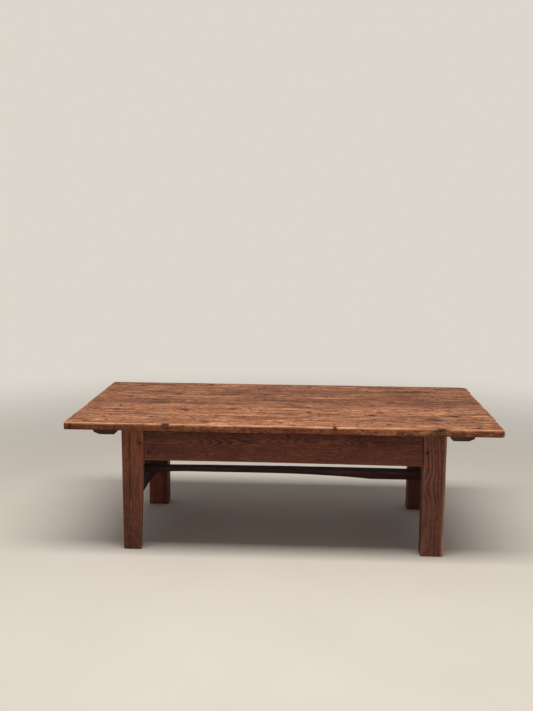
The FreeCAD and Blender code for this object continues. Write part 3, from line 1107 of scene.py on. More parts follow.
@dataclass
class Plank(Timber):
    """One plank of the top: tongued at the back, grooved at the front, worn where it meets the outside.

    worn_mm is how far the pale wear of the upper face comes down the outer edges, at the left and right
    end. gouges have a place along, a length and a size, in millimetres. handled is the usual polish of the
    front edge, and its pale colour paints the edge's highlight line. hands are places where it is stronger
    or weaker: place along, reach and amount. idle_end is where it starts to fade to the right, over what
    length and by how much.
    """

    is_front: bool = False
    is_back: bool = False
    corner_mm: tuple[float, float] = (6.0, 6.0)
    edge_mm: float = 5.0
    lower_edge_mm: float = 2.5
    # How far the outer edges lie in from a straight line, on average
    outline_mm: float = 0.5
    worn_mm: tuple[float, float] = (2.4, 2.4)
    joint_mm: float = 1.8
    tongue_mm: float = 9.0
    tongue_thickness_mm: float = 8.0
    tongue_gap_mm: float = 0.8
    groove_slack_mm: float = 0.3
    gouges: tuple[tuple[float, float, float], ...] = ()
    gouge_grime_mm: float = 2.2
    gouge_depth: Uneven = Uneven(1.0, 0.6, 0.4, 1.5)
    # Polish and dirt of the joints, and the share of both that shows on the grooved side
    joint_polish: Uneven = Uneven(0.0, 1.3, 0.0, 0.8)
    joint_dirt: Uneven = Uneven(0.35, 0.9, 0.0, 0.9)
    groove_share: float = 0.6
    # The polish of the front upper edge, whose pale colour is also its painted highlight line
    handled_and_highlight: float = 1.45
    hands: tuple[tuple[float, float, float], ...] = ((0.07, 0.11, 0.7), (0.5, 0.06, -0.75))
    idle_end: tuple[float, float, float] = (0.2, 0.15, 0.45)
    finger_marks: Uneven = Uneven(1.0, 0.5, 0.25, 1.4)
    # Dark dirt of the outer edges and its reach, and a place along them with less: its reach and how much
    edge_dirt: Uneven = Uneven(0.9, 0.35, 0.3, 1.0)
    edge_reach_mm: float = 3.0
    clean_edge: tuple[float, float, float] = (0.38, 0.12, 0.45)
    # Over how much the pale wear of the upper face gives way to that dirt
    worn_fade_mm: float = 0.8
    # The tips of the front edge are rubbed most: reach at the left and right, strength above and below
    tip_reach: tuple[float, float] = (0.007, 0.014)
    tip_polish: tuple[float, float] = (1.5, 0.9)
    # Strength, reach and spread of the strip that sleeves rub pale, and of the wear at both ends
    sleeves: float = 0.8
    sleeve_reach: float = 0.06
    sleeve_marks: Uneven = Uneven(0.85, 0.6, 0.1, 1.3)
    end_wear: float = 0.9
    end_wear_mm: float = 4.0
    end_marks: Uneven = Uneven(0.6, 1.2, 0.0, 1.0)
    nail_rows: tuple[NailRow, ...] = ()
    # A nail's seat: its radius and depth, how soon it is that deep, the dirt in it, and how far beyond the
    # radius its rim and its floor lie
    seat_mm: float = 4.2
    seat_depth_mm: float = 2.0
    seat_ramp_mm: float = 2.0
    seat_grime: float = 0.35
    seat_rim_mm: float = 1.3
    seat_floor_mm: float = 0.4

    def back(self) -> float:
        """The back of the plank without its tongue."""
        return self.high[1] - (0.0 if self.is_back else self.tongue_mm * MM)

    def gouge(self) -> np.ndarray:
        """How much more of the front upper edge is broken away at the gouges.

        Returns:
            One size for each station, in metres.
        """
        lost = np.zeros_like(self.stations)
        for along, length, size in self.gouges:
            lost += size * MM * bell(self.stations / MM - along, length)
        return lost * self.gouge_depth.at(self.drift(Noise.GOUGE))

    def seats(self, face: np.ndarray) -> list[Corner]:
        """The hollows that the nails were driven into.

        Args:
            face: The height of the upper face at each station.

        Returns:
            Four corners for each row of nails.
        """
        corners = []
        for row in self.nail_rows:
            reach = np.zeros_like(self.stations)
            for along in row.alongs:
                left = np.clip((self.seat_mm * MM) ** 2 - (self.stations - along) ** 2, 0.0, None)
                reach = np.maximum(reach, np.sqrt(left))
            sunk = unit(reach / (self.seat_ramp_mm * MM))
            floor = face - self.seat_depth_mm * MM * sunk
            rim = reach + self.seat_rim_mm * MM
            foot = reach + self.seat_floor_mm * MM
            for gap, deep in ((rim, face), (foot, floor), (-foot, floor), (-rim, face)):
                corners.append(Corner.at(row.across + gap, deep, grimy=self.seat_grime * sunk))
        return corners

    def outer_wear(self) -> np.ndarray:
        """How far an outer edge lies in from a straight line, with its rounded corners."""
        return self.drawn_in(self.corner_mm) + self.outline_mm * MM * (1.0 + self.drift(Noise.OUTLINE))

    def back_edge(self, d_low: np.ndarray, d_high: np.ndarray) -> list[Corner]:
        """The back edge: a worn outer one, or a tongue.

        Args:
            d_low: The lower face at each station.
            d_high: The upper face at each station.

        Returns:
            Its corners, upwards.
        """
        across = np.full_like(self.stations, self.back())
        if self.is_back:
            across = across - self.outer_wear()
            return [
                Corner.at(across, d_low, rounding=self.arris(self.lower_edge_mm, 0), rubbed=0.3),
                Corner.at(across, d_high, rounding=self.arris(self.edge_mm, 1), rubbed=0.7),
            ]
        tip = across + self.tongue_mm * MM
        middle = np.full_like(self.stations, (self.low[2] + self.high[2]) / 2.0)
        half = self.tongue_thickness_mm * MM / 2.0
        low, high = middle - half, middle + half
        tongue = ((across, d_low), (across, low), (tip, low), (tip, high), (across, high))
        polish = self.joint_polish.at(self.drift(Noise.JOINT_POLISH))
        dirt = self.joint_dirt.at(self.drift(Noise.JOINT_DIRT))
        joint = Corner.at(
            across,
            d_high,
            rounding=self.arris(self.joint_mm, 3),
            rubbed=polish,
            grimy=unit(dirt - polish),
            rubbed_reach=10.0 * MM,
            grimy_reach=6.0 * MM,
        )
        return [Corner.at(*place, still=True) for place in tongue] + [joint]

    def front_edge(self, d_low: np.ndarray, d_high: np.ndarray) -> list[Corner]:
        """The front edge: a worn and polished outer one, or a groove.

        Args:
            d_low: The lower face at each station.
            d_high: The upper face at each station.

        Returns:
            Its corners, downwards.
        """
        across = np.full_like(self.stations, self.low[1])
        if self.is_front:
            across = across + self.outer_wear()
            left_tip = bell(self.stations - self.low[0], self.tip_reach[0])
            right_tip = bell(self.stations - self.high[0], self.tip_reach[1])
            # The polish of the upper edge also paints its highlight line
            upper = Corner.at(
                across,
                d_high,
                rounding=self.arris(self.edge_mm, 2) + self.gouge(),
                rubbed=np.maximum(self.hand_polish_and_highlight(), self.tip_polish[0] * (right_tip + left_tip)),
                grimy=unit(self.gouge() / (self.gouge_grime_mm * MM)),
                rubbed_reach=3.6 * MM,
                grimy_reach=12.0 * MM,
            )
            worn = self.arris(self.lower_edge_mm, 4)
            return [upper, Corner.at(across, d_low, rounding=worn, rubbed=self.tip_polish[1] * right_tip)]
        inner = across + (self.tongue_mm - self.tongue_gap_mm + self.groove_slack_mm) * MM
        middle = np.full_like(self.stations, (self.low[2] + self.high[2]) / 2.0)
        half = self.tongue_thickness_mm * MM / 2.0 + self.groove_slack_mm * MM
        low, high = middle - half, middle + half
        dirt = self.groove_share * self.joint_dirt.at(self.drift(Noise.JOINT_DIRT))
        joint = Corner.at(
            across,
            d_high,
            rounding=self.arris(self.joint_mm, 5),
            rubbed=self.groove_share - dirt,
            grimy=dirt,
            still=True,
            rubbed_reach=8.0 * MM,
            grimy_reach=4.0 * MM,
        )
        groove = ((across, high), (inner, high), (inner, low), (across, low))
        return [joint] + [Corner.at(*place, still=True) for place in groove] + [Corner.at(across, d_low)]

    def hand_polish_and_highlight(self) -> np.ndarray:
        """How far hands have polished the front upper edge, which also paints its highlight line.

        Returns:
            One share for each station, where more than one reaches further.
        """
        start, length, amount = self.idle_end
        polish = self.handled_and_highlight - amount * unit((self.stations - start) / length)
        for along, reach, amount in self.hands:
            polish = polish + amount * bell(self.stations - along, reach)
        uneven = self.drift(Noise.HANDS) + self.drift(Noise.FINGERS)
        return polish * self.finger_marks.at(uneven)

    def section(self) -> list[Corner]:
        """Sets out the section, with tongue, groove, cracks, nail seats and worn outer edges.

        Returns:
            Its corners, turning from across to deep.
        """
        inset = self.drawn_in(self.end_round_mm)
        d_low = self.low[2] + inset
        d_high = self.high[2] - inset
        upper = self.cracks(d_high, False) + self.seats(d_high)
        upper.sort(key=lambda corner: -corner.place[:, 0].mean())
        return self.back_edge(d_low, d_high) + upper + self.front_edge(d_low, d_high)

    def shares(self, rings: np.ndarray, corners: list[Corner]) -> dict[Share, np.ndarray]:
        """Adds dark outer edges and the strip that sleeves rubbed pale to what the finish needs.

        Args:
            rings: Across and deep for each station and point.
            corners: The section's corners.

        Returns:
            One value per point for each share.
        """
        shares = super().shares(rings, corners)
        across, deep = rings[..., 0], rings[..., 1]
        worn_off = np.interp(self.stations, self.stations[[0, -1]], self.worn_mm)[:, None] * MM
        below = unit((self.high[2] - worn_off - deep) / (self.worn_fade_mm * MM))
        for wanted, edge in ((self.is_front, self.low[1]), (self.is_back, self.high[1])):
            if wanted:
                place, reach, amount = self.clean_edge
                cleaned = amount * bell(self.stations - place, reach)
                dark = self.edge_dirt.at(self.drift(Noise.EDGE_DARK), -cleaned)[:, None]
                dark = dark * bell(across - edge, self.edge_reach_mm * MM)
                shares[Share.END] = np.maximum(shares[Share.END], dark * below)
        near_end = np.minimum(self.stations - self.stations[0], self.stations[-1] - self.stations)
        worn = self.end_wear * bell(near_end, self.end_wear_mm * MM)[:, None]
        worn = worn * self.end_marks.at(self.drift(Noise.END_WEAR, across))
        shares[Share.RUBBED] = np.maximum(shares[Share.RUBBED], worn * (1.0 - below))
        if self.is_front:
            uneven = self.on_faces(self.places(rings), Wear.SLEEVES)
            strip = bell(across - self.low[1], self.sleeve_reach) * (1.0 - below)
            pale = self.sleeves * strip * self.sleeve_marks.at(uneven)
            shares[Share.PALE] = np.maximum(shares[Share.PALE], pale)
        return shares


@dataclass
class Leg(Timber):
    """A stout leg, drawn in towards its foot, with a step cut into its inner face under the apron.

    The tapers are measured at the foot. skew_mm is how much more of a high inner face is gone at its far
    edge, and skew_start_mm is how soon. unwaxed is how much painted shade darkens the inner face, and
    inner_shade_mm how far that reaches round its edges.
    """

    axis: Axis = Axis.HEIGHT
    inner_taper_mm: float = 0.0
    outer_taper_mm: float = 0.0
    step_mm: float = 0.0
    skew_mm: float = 0.0
    skew_start_mm: float = 4.0
    taper_height: float = 0.302
    inner_is_high: bool = True
    # Painted shade on the inner face, and how far it reaches round its edges
    inner_shade: float = 0.5
    inner_shade_mm: float = 2.0

    def sides(self) -> Sides:
        """Finds the four sides, with the inner and outer faces drawn in.

        Returns:
            Across low, across high, deep low and deep high at each station.
        """
        a_low, a_high, d_low, d_high = super().sides()
        step = self.step_mm * MM
        inner = np.clip(self.taper_height - self.stations, 0.0, step)
        inner = inner + self.inner_taper_mm * MM * unit(1.0 - self.stations / (self.taper_height - step))
        outer = self.outer_taper_mm * MM * (1.0 - self.stations / self.high[0])
        if self.inner_is_high:
            return a_low + outer, a_high - inner, d_low, d_high
        return a_low + inner, a_high - outer, d_low, d_high

    def section(self) -> list[Corner]:
        """Sets out the section, with the far edge of the inner face cut back.

        Returns:
            Its corners, turning from across to deep.
        """
        corners = super().section()
        started = unit((self.taper_height - self.stations) / (self.skew_start_mm * MM))
        corners[1].place[:, 0] -= self.skew_mm * MM * started
        return corners

    def shares(self, rings: np.ndarray, corners: list[Corner]) -> dict[Share, np.ndarray]:
        """Adds the painted shade of the inner face to what the finish needs to know.

        Args:
            rings: Across and deep for each station and point.
            corners: The section's corners.

        Returns:
            One value per point for each share.
        """
        shares = super().shares(rings, corners)
        across = rings[..., 0]
        inner = across.max(1) if self.inner_is_high else across.min(1)
        side = bell(across - inner[:, None], self.inner_shade_mm * MM)
        shares[Share.DARK] = np.maximum(shares[Share.DARK], self.inner_shade * side)
        return shares


@dataclass
class Rail(Timber):
    """An apron or a low stretcher, cut off at the faces of the legs that its tenons enter.

    right_sag_mm is how far the lower edge drops from the middle to the right end.
    """

    rubbed: float = 0.2
    tenon: float = 0.045
    right_sag_mm: float = 0.0

    def __post_init__(self) -> None:
        """Reads the rail's place from the frame, without its tenons."""
        super().__post_init__()
        self.low[0] += self.tenon
        self.high[0] -= self.tenon
        self.stations = self.set_out()

    def sides(self) -> Sides:
        """Finds the four sides, with the lower edge level up to the middle.

        Returns:
            Across low, across high, deep low and deep high at each station.
        """
        a_low, a_high, d_low, d_high = super().sides()
        level = 1.0 - unit(self.stations / self.high[0])
        return a_low, a_high, d_low + self.right_sag_mm * MM * level, d_high


@dataclass
class EndRail(Rail):
    """A rail at an end of the table, with shorter tenons."""

    axis: Axis = Axis.DEPTH
    tenon: float = 0.027


@dataclass
class Batten(Timber):
    """A cleat under an end of the top, bevelled along both lower edges."""

    axis: Axis = Axis.DEPTH
    arris_mm: float = 2.0
    inner_is_high: bool = True
    inner_bevel: float = 0.008
    outer_bevel_width: float = 0.019
    outer_bevel_height: float = 0.008

    def section(self) -> list[Corner]:
        """Sets out the bevelled section: across is up, deep is along the table.

        Returns:
            Its corners, turning from across to deep.
        """
        inset = self.drawn_in(self.end_round_mm)
        low, high = self.low[1] + inset, np.full_like(inset, self.high[1])
        left, right = np.full_like(inset, self.low[2]), np.full_like(inset, self.high[2])
        high_bevel = (self.inner_bevel, self.inner_bevel)
        low_bevel = (self.outer_bevel_width, self.outer_bevel_height)
        if not self.inner_is_high:
            high_bevel, low_bevel = low_bevel, high_bevel
        places = [
            (high, left),
            (high, right),
            (low + high_bevel[1], right),
            (low, right - high_bevel[0]),
            (low, left + low_bevel[0]),
            (low + low_bevel[1], left),
        ]
        return [
            Corner.at(*place, rounding=self.arris(self.arris_mm, i), rubbed=self.rubbed)
            for i, place in enumerate(places)
        ]


@dataclass
class HewnStretcher(Rail):
    """The long stretcher: bowed a little on top, hewn below to an arch that is deepest at the right.

    half_section is one half of its section: shares of half the width and of the depth, from the top down.
    """

    tenon: float = 0.020
    left_width: float = 0.046
    left_depth: float = 0.025
    crown_depth: float = 0.0178
    bow: float = 0.0026
    left_sweep: float = 0.174
    right_sweep: float = 0.363
    right_block: float = 0.201
    half_section: tuple[tuple[float, float], ...] = ((1.0, 0.0), (1.0, 0.3), (0.62, 0.85), (0.25, 1.0))
    # Tool marks: how deep they are in the sides, which start at a share of half the width, how they change
    # the depth, and what they take off the top
    hewn_mm: float = 0.9
    side_share: float = 0.5
    hewn_depth: Uneven = Uneven(0.985, 0.015, 0.97, 1.0)
    hewn_top_mm: float = 0.2
    # How much of the edges is worn off, and how far they are polished, on top and below
    top_edge: tuple[float, float] = (2.2, 0.4)
    lower_edge: tuple[float, float] = (1.2, 0.1)

    def section(self) -> list[Corner]:
        """Sets out the hewn section, with tool marks that wander along it.

        Returns:
            Its corners, turning from across to deep.
        """
        x = self.stations
        left = unit((self.low[0] + self.left_sweep - x) / self.left_sweep)
        stop = self.high[0] - self.right_block
        right = unit((x - stop + self.right_sweep) / self.right_sweep)
        base = self.high[2] - self.bow
        depth = self.crown_depth + (self.left_depth - self.crown_depth) * left**2
        depth = depth + (base - self.low[2] - self.crown_depth) * right**2
        depth = depth * self.hewn_depth.at(self.drift(Noise.HEWN_DEPTH))
        top = self.high[2] - self.hewn_top_mm * MM - self.bow * (x / self.high[0]) ** 2
        depth = depth + top - base
        full = self.high[1] - self.low[1]
        grown = (x - self.low[0]) / (self.high[0] - self.low[0])
        width = self.left_width + (full - self.left_width) * grown
        middle = self.low[1] + width / 2.0
        outline = [(1.0, share) for share in reversed(self.half_section)]
        outline += [(-1.0, share) for share in self.half_section]
        corners = []
        for i, (side, (across, deep)) in enumerate(outline):
            reach = width / 2.0 * across
            if across > self.side_share:
                reach = reach + self.hewn_mm * MM * (self.drift(Noise.HEWN_FACES, more=i) - 1.0)
            arris, polish = self.top_edge if deep == 0.0 else self.lower_edge
            corner = Corner.at(middle + side * reach, top - depth * deep, rubbed=polish)
            corner.rounding = self.arris(arris, i)
            corners.append(corner)
        return corners


@dataclass
class PlankTop:
    """The five planks, front to back."""

    slot: str = "waxed_pine_top"
    apron_nails: tuple[float, ...] = (-0.3, 0.0, 0.3)
    # Where the nails over the battens stand, as shares of a plank's width
    batten_nails: tuple[float, float] = (0.25, 0.75)
    # Old pine planks, planed by hand and waxed: warm orange brown and nearly dull, dark along the streaks,
    # with small dark holes and ragged stains, and pale with a little gloss where sleeves and hands rub
    finish: OldTimber = OldTimber(
        name="waxed_old_pine_planks",
        early_wood="#c6825a",
        late_wood="#5a2f1d",
        knot_wood="#2f1910",
        rubbed_wood="#f2b384",
        # Pale polish, which also paints the highlight line of the front upper edge
        handled_and_highlight_wood="#f6b080",
        pale_wood="#f2a26e",
        stain="#2f1a12",
        edge="#643320",
        grime="#20120d",
        ring_contrast=0.75,
        streaks=Marks(240.0, 15.0, 0.45, 0.66, 0.6, 4.0),
        gleams=Marks(100.0, 13.0, 0.53, 0.66, 0.8, 5.0, 0.6),
        mottle=Marks(18.0, 13.0, 0.47, 0.63, 0.65, 4.0, 0.55),
        flecks=Marks(17.0, 10.0, 0.635, 0.685, 0.95),
        ragged=Marks(14.0, 12.0, 0.38, 0.50, 0.7, 4.0),
        specular=0.10,
    )

    def nail_rows(self, front: float, back: float) -> tuple[NailRow, ...]:
        """Finds the nails that pass through one plank.

        Args:
            front: The plank's front edge.
            back: Its back edge.

        Returns:
            Two rows over the battens, and one where an apron lies below.
        """
        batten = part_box("batten_right")
        reach = batten[1][1]
        middle = (batten[0][0] + batten[1][0]) / 2.0
        low, high = max(front, -reach), min(back, reach)
        rows = [NailRow(low + share * (high - low), (-middle, middle)) for share in self.batten_nails]
        for node in ("apron_front", "apron_back"):
            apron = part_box(node)
            line = (apron[0][1] + apron[1][1]) / 2.0
            if front < line < back:
                rows.append(NailRow(line, self.apron_nails))
        return tuple(rows)

    def planks(self) -> tuple[Plank, ...]:
        """Sets out the planks, each with its own log, knots, cracks and stained patches.

        Returns:
            The planks, front to back.
        """
        front = Plank(
            "top_board_front",
            Log(12.0, -95.0, 9.0, 24.0),
            1,
            is_front=True,
            corner_mm=(6.0, 12.0),
            end_round_mm=(2.0, 7.0),
            edge_mm=2.6,
            worn_mm=(0.8, 4.0),
            arris_swing=0.2,
            knots=(
                Knot(495, -237, 11),
                Knot(-432, -267, 7),
                Knot(-629, -342, 7),
                Knot(-244, -332, 8),
                Knot(339, -317, 7),
                Knot(613, -348, 9),
            ),
            checks=(Check(-322, -720, -600, 1.4), Check(-285, 600, 720, 1.8, 4.0)),
            stains=(
                Patch(495, -368, 28, 16, 0.9),
                Patch(500, -362, 40, 22, 0.5),
                Patch(-527, -373, 3, 6, 0.9),
                Patch(-672, -373, 4, 6, 0.8),
                Patch(430, -373, 6, 6, 0.7),
                Patch(-661, -317, 26, 16, 0.75),
                Patch(-207, -229, 18, 10, 0.8),
                Patch(495, -233, 28, 15, 1.0),
                Patch(579, -230, 20, 11, 0.8),
                Patch(613, -348, 10, 12, 0.8),
                Patch(412, -341, 11, 10, 0.6),
                Patch(640, -290, 80, 60, 0.2),
            ),
            pales=(Patch(680, -364, 24, 18, 1.0), Patch(-688, -366, 9, 12, 1.2)),
            gouges=((-367.0, 9.0, 6.5), (166.0, 7.0, 2.6), (497.0, 14.0, 2.2)),
        )
        second = Plank(
            "top_board_second",
            Log(-18.0, -120.0, -7.0, -30.0),
            2,
            knots=(
                Knot(-342, -142, 10),
                Knot(-178, -118, 9),
                Knot(82, -154, 8),
                Knot(324, -140, 8),
                Knot(292, -189, 11),
                Knot(565, -178, 13),
            ),
            checks=(Check(-120, -720, -600, 1.5, 3.5),),
            pales=(Patch(385, -60, 110, 10, 1.3), Patch(0, -130, 700, 75, 0.42)),
            stains=(
                Patch(-557, -114, 20, 13, 0.6),
                Patch(-342, -140, 15, 11, 0.7),
                Patch(-178, -116, 9, 15, 0.75),
                Patch(82, -152, 8, 11, 0.7),
                Patch(324, -138, 17, 13, 1.0),
                Patch(300, -186, 13, 9, 0.6),
                Patch(565, -172, 26, 10, 0.7),
                Patch(47, -57, 30, 9, 1.1),
                Patch(-439, -56, 40, 10, 0.7),
                Patch(600, -130, 120, 60, 0.2),
            ),
        )
        middle = Plank(
            "top_board_middle",
            Log(10.0, -80.0, 6.0, 32.0),
            3,
            dark=0.24,
            knots=(Knot(-565, 76, 7), Knot(21, -30, 8), Knot(372, 40, 9)),
            checks=(Check(35, 585, 720, 1.6, 4.0),),
            stains=(
                Patch(-439, -34, 58, 16, 1.0),
                Patch(-387, 11, 10, 10, 0.6),
                Patch(-557, 6, 14, 13, 0.5),
                Patch(47, -46, 28, 8, 1.1),
                Patch(-40, 20, 150, 45, 0.22),
                Patch(560, 30, 150, 60, 0.22),
            ),
        )
        fourth = Plank(
            "top_board_fourth",
            Log(-8.0, -105.0, -10.0, 22.0),
            4,
            dark=0.18,
            knots=(Knot(-402, 140, 9), Knot(223, 190, 7)),
            checks=(Check(190, -720, -585, 1.7, 4.0),),
            stains=(
                Patch(-402, 142, 13, 14, 0.7),
                Patch(-203, 175, 38, 12, 1.2),
                Patch(-114, 120, 90, 14, 0.4),
                Patch(-35, 243, 52, 13, 0.9),
                Patch(243, 256, 22, 12, 1.1),
                Patch(369, 262, 15, 11, 1.1),
                Patch(489, 254, 56, 18, 1.7),
                Patch(450, 180, 160, 60, 0.2),
            ),
        )
        back = Plank(
            "top_board_back",
            Log(14.0, -90.0, 8.0, -26.0),
            5,
            dark=0.12,
            is_back=True,
            corner_mm=(13.0, 30.0),
            knots=(Knot(430, 318, 8), Knot(-300, 340, 8)),
            stains=(Patch(-35, 276, 40, 9, 0.5), Patch(489, 275, 44, 9, 1.2), Patch(369, 274, 15, 8, 0.6)),
        )
        return front, second, middle, fourth, back

    def build(self) -> None:
        """Builds and dresses the planks."""
        material = self.finish.material()
        for plank in self.planks():
            plank.nail_rows = self.nail_rows(plank.low[1], plank.back())
            nails = [along for row in plank.nail_rows for along in row.alongs]
            plank.close_stations = tuple(nails + [gouge[0] * MM for gouge in plank.gouges])
            plank.stations = plank.set_out()
            plank.build(material, self.slot)


@dataclass
class PeggedFrame:
    """Four legs and the four aprons that are pegged into them."""

    slot: str = "dark_stained_frame"
    # The same old pine, planed, stained red brown and waxed: dark and nearly dull, with soft rings that show
    # as darker lines, and paler along the edges, where the stain has been rubbed off
    finish: OldTimber = OldTimber(
        name="stained_old_pine_frame",
        early_wood="#9c5d47",
        late_wood="#522c23",
        knot_wood="#2a1711",
        rubbed_wood="#b47e66",
        handled_and_highlight_wood="#bb7450",
        pale_wood="#bb7450",
        stain="#301a15",
        edge="#4d2b23",
        grime="#1d110d",
        ring_mm=7.0,
        ring_contrast=0.5,
        streaks=Marks(200.0, 9.0, 0.42, 0.66, 0.3, 3.0),
        gleams=Marks(30.0, 8.0, 0.54, 0.70, 0.25, 3.0),
        mottle=Marks(12.0, 11.0, 0.44, 0.66, 0.3, 4.0),
        flecks=Marks(20.0, 5.0, 0.64, 0.73, 0.4),
        clouds=Marks(110.0, 60.0, 0.42, 0.66, 0.3),
    )

    @property
    def lined_finish(self) -> OldTimber:
        """The finish of the right front leg.

        Returns:
            The frame's finish on wood from another log.
        """
        # Fast-grown pine, sawn off the heart: broad rings that run down the leg as strong dark lines
        return replace(
            self.finish,
            name="stained_fast_grown_pine_leg",
            early_wood="#9c6552",
            # This pale polish also paints the highlight line on the leg's front right edge
            handled_and_highlight_wood="#dca487",
            ring_mm=7.5,
            ring_contrast=0.9,
            ring_wave_mm=2.5,
            figured=Marks(170.0, 55.0, 0.38, 0.58, 0.7),
        )

    @property
    def arched_finish(self) -> OldTimber:
        """The finish of the aprons.

        Returns:
            The frame's finish on wood from another log.
        """
        # Pine sawn flat close to the pith: narrow rings that show as long nested arches
        return replace(
            self.finish,
            name="stained_flat_sawn_pine_aprons",
            early_wood="#965a46",
            ring_mm=3.6,
            ring_contrast=0.95,
            ring_wave_mm=5.0,
            figured=Marks(170.0, 55.0, 0.36, 0.58, 0.45),
        )

    def legs(self) -> tuple[Leg, ...]:
        """Sets out the legs: the left front one is cracked and narrowed, the right front one has long lines.

        Returns:
            The four legs.
        """
        front_left = Leg(
            "leg_front_left",
            Log(70.0, 60.0, 0.0, 20.0),
            11,
            inner_taper_mm=11.0,
            outer_taper_mm=3.5,
            skew_mm=8.0,
            polish=(0.4, 0.4, 0.4, 0.1),
            checks=(Check(-501, 170, 415, 0.6, 0.6, True, 0.75),),
            # Painted light: the upper part of the leg is made paler
            pales=(Patch(370, -488, 75, 70, 0.6),),
            stains=(
                Patch(400, -527, 60, 9, 1.0),
                Patch(361, -468, 9, 8, 0.95),
                Patch(364, -512, 7, 6, 0.6),
                # Painted shade: the lower part of the leg is made darker
                Patch(60, -490, 130, 90, 0.78, 0.15),
            ),
        )
        front_right = Leg(
            "leg_front_right",
            Log(-45.0, 25.0, -75.0, -30.0),
            12,
            inner_is_high=False,
            knots=(Knot(236, 468, 14, True),),
            # Deeper painted shade on the inner face
            inner_shade=0.8,
            # The front right edge is polished pale, which also paints its highlight line
            polish=(1.0, 0.3, 0.3, 0.2),
            polish_reach_mm=6.0,
            stains=(
                Patch(16, 478, 9, 6, 0.8),
                Patch(150, 478, 40, 14, 0.5),
                Patch(90, 490, 120, 80, 0.6, 0.15),
                Patch(415, 490, 50, 90, 0.5, 0.15),
                Patch(348, 468, 9, 8, 0.95),
            ),
        )
        back_left = Leg(
            "leg_back_left",
            Log(30.0, -100.0, 10.0, 40.0),
            13,
            dark=0.14,
            # Painted shade on the inner half of the leg
            stains=(Patch(120, -456, 400, 24, 0.9, 0.15),),
        )
        back_right = Leg(
            "leg_back_right",
            Log(-40.0, -90.0, -20.0, 30.0),
            14,
            dark=0.65,
            step_mm=6.0,
            inner_is_high=False,
        )
        return front_left, front_right, back_left, back_right

    def aprons(self) -> tuple[Rail, ...]:
        """Sets out the aprons: arches show in the upper half of the front one.

        Returns:
            The four aprons.
        """
        front = Rail(
            "apron_front",
            Log(6.0, 10.0, -12.0, 14.0, ((-103.0, 150.0, 27.0), (173.0, 80.0, 11.0))),
            15,
            marks_on=1,
            right_sag_mm=2.7,
            knots=(Knot(-438, 330, 5), Knot(-425, 345, 4)),
            stains=(
                Patch(17, 396, 6, 10, 2.6),
                Patch(-245, 385, 16, 30, 0.5),
                Patch(252, 380, 26, 26, 0.5),
                # Painted shadow of the top's overhang: a dark band along the upper part
                Patch(0, 440, 2000, 62, 1.18, 0.15),
                Patch(-330, 338, 110, 24, 0.4, 0.2),
            ),
            pales=(Patch(20, 350, 180, 30, 0.45),),
        )
        back = Rail("apron_back", Log(-110.0, 8.0, 26.0, -8.0), 16, marks_on=1)
        left = EndRail("apron_left", Log(5.0, 95.0, 8.0, 40.0), 17)
        right = EndRail("apron_right", Log(-8.0, -95.0, 8.0, 40.0), 18)
        return front, back, left, right

    def build(self) -> None:
        """Builds and dresses legs and aprons."""
        material = self.finish.material()
        arched = self.arched_finish.material()
        finishes = {"leg_front_right": self.lined_finish.material()}
        for leg in self.legs():
            leg.build(finishes.get(leg.node, material), self.slot)
        for apron in self.aprons():
            apron.build(arched, self.slot)


@dataclass
class Underframe:
    """The dark pieces below: battens under the top, end stretchers and the hewn centre stretcher."""

    slot: str = "smoky_underframe"
    # Softwood, hewn or sawn and never waxed, dark from smoke: nearly black with a touch of red, hardly any
    # gloss, and a thin veil of dust on what faces up
    finish: OldTimber = OldTimber(
        name="smoked_dry_softwood",
        early_wood="#633d3c",
        late_wood="#331d20",
        knot_wood="#1a100d",
        rubbed_wood="#7a6055",
        handled_and_highlight_wood="#7a6055",
        pale_wood="#7a6055",
        stain="#231512",
        edge="#4e3837",
        grime="#120b09",
        ring_mm=4.0,
        streaks=Marks(180.0, 5.0, 0.42, 0.68, 0.5, 3.0),
        gleams=Marks(60.0, 5.0, 0.56, 0.72, 0.15),
        mottle=Marks(24.0, 18.0, 0.46, 0.7, 0.35, 3.0),
        roughness=0.66,
        specular=0.08,
        dust="#3a2226",
    )

    def timbers(self) -> tuple[Timber, ...]:
        """Sets out the battens and the stretchers.

        Returns:
            The five timbers.
        """
        return (
            Batten("batten_left", Log(-60.0, 10.0, 0.0, 20.0), 21, rubbed=0.25),
            Batten("batten_right", Log(-70.0, -12.0, 0.0, 20.0), 22, rubbed=0.5, inner_is_high=False),
            EndRail("end_stretcher_left", Log(0.0, 70.0, 5.0, 20.0), 23, rubbed=0.3),
            EndRail("end_stretcher_right", Log(0.0, -70.0, 5.0, 20.0), 24, rubbed=0.3),
            HewnStretcher("centre_stretcher", Log(3.0, 2.0, 4.0, 4.0), 25),
        )

    def build(self) -> None:
        """Builds and dresses battens and stretchers."""
        material = self.finish.material()
        for timber in self.timbers():
            timber.build(material, self.slot)


@dataclass
class Fastenings:
    """Whittled pegs and forged nails, which keep the shapes of the frame's own solids."""

    # Oak end grain, cut off with a knife and dirty: dull, dark, finely speckled. The pores are about 0.3 mm
    # wide and are drawn at 1.4 mm, or they wouldn't show.
    peg_finish: Speckled = Speckled("oak_peg_end_grain", "#160d09", "#2f1c13", 1.4, (0.6, 0.8), 0.3)
    # Wrought iron, forged by hand and rusted dark: uneven, hardly shiny, brown where the rust is thick
    nail_finish: Speckled = Speckled("forged_iron_rusted", "#3a2a22", "#5a3420", 2.5, (0.45, 0.8), 0.4, 0.7)

    def build(self) -> None:
        """Dresses pegs and nails."""
        peg = self.peg_finish.material()
        iron = self.nail_finish.material()
        dressing = {"apron_pegs": peg, "stretcher_pegs": peg, "batten_nails": iron, "apron_nails": iron}
        for name, material in dressing.items():
            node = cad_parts[name]
            node.data.materials.clear()
            node.data.materials.append(material)
            LOG.info("%s: %s", name, material.name)


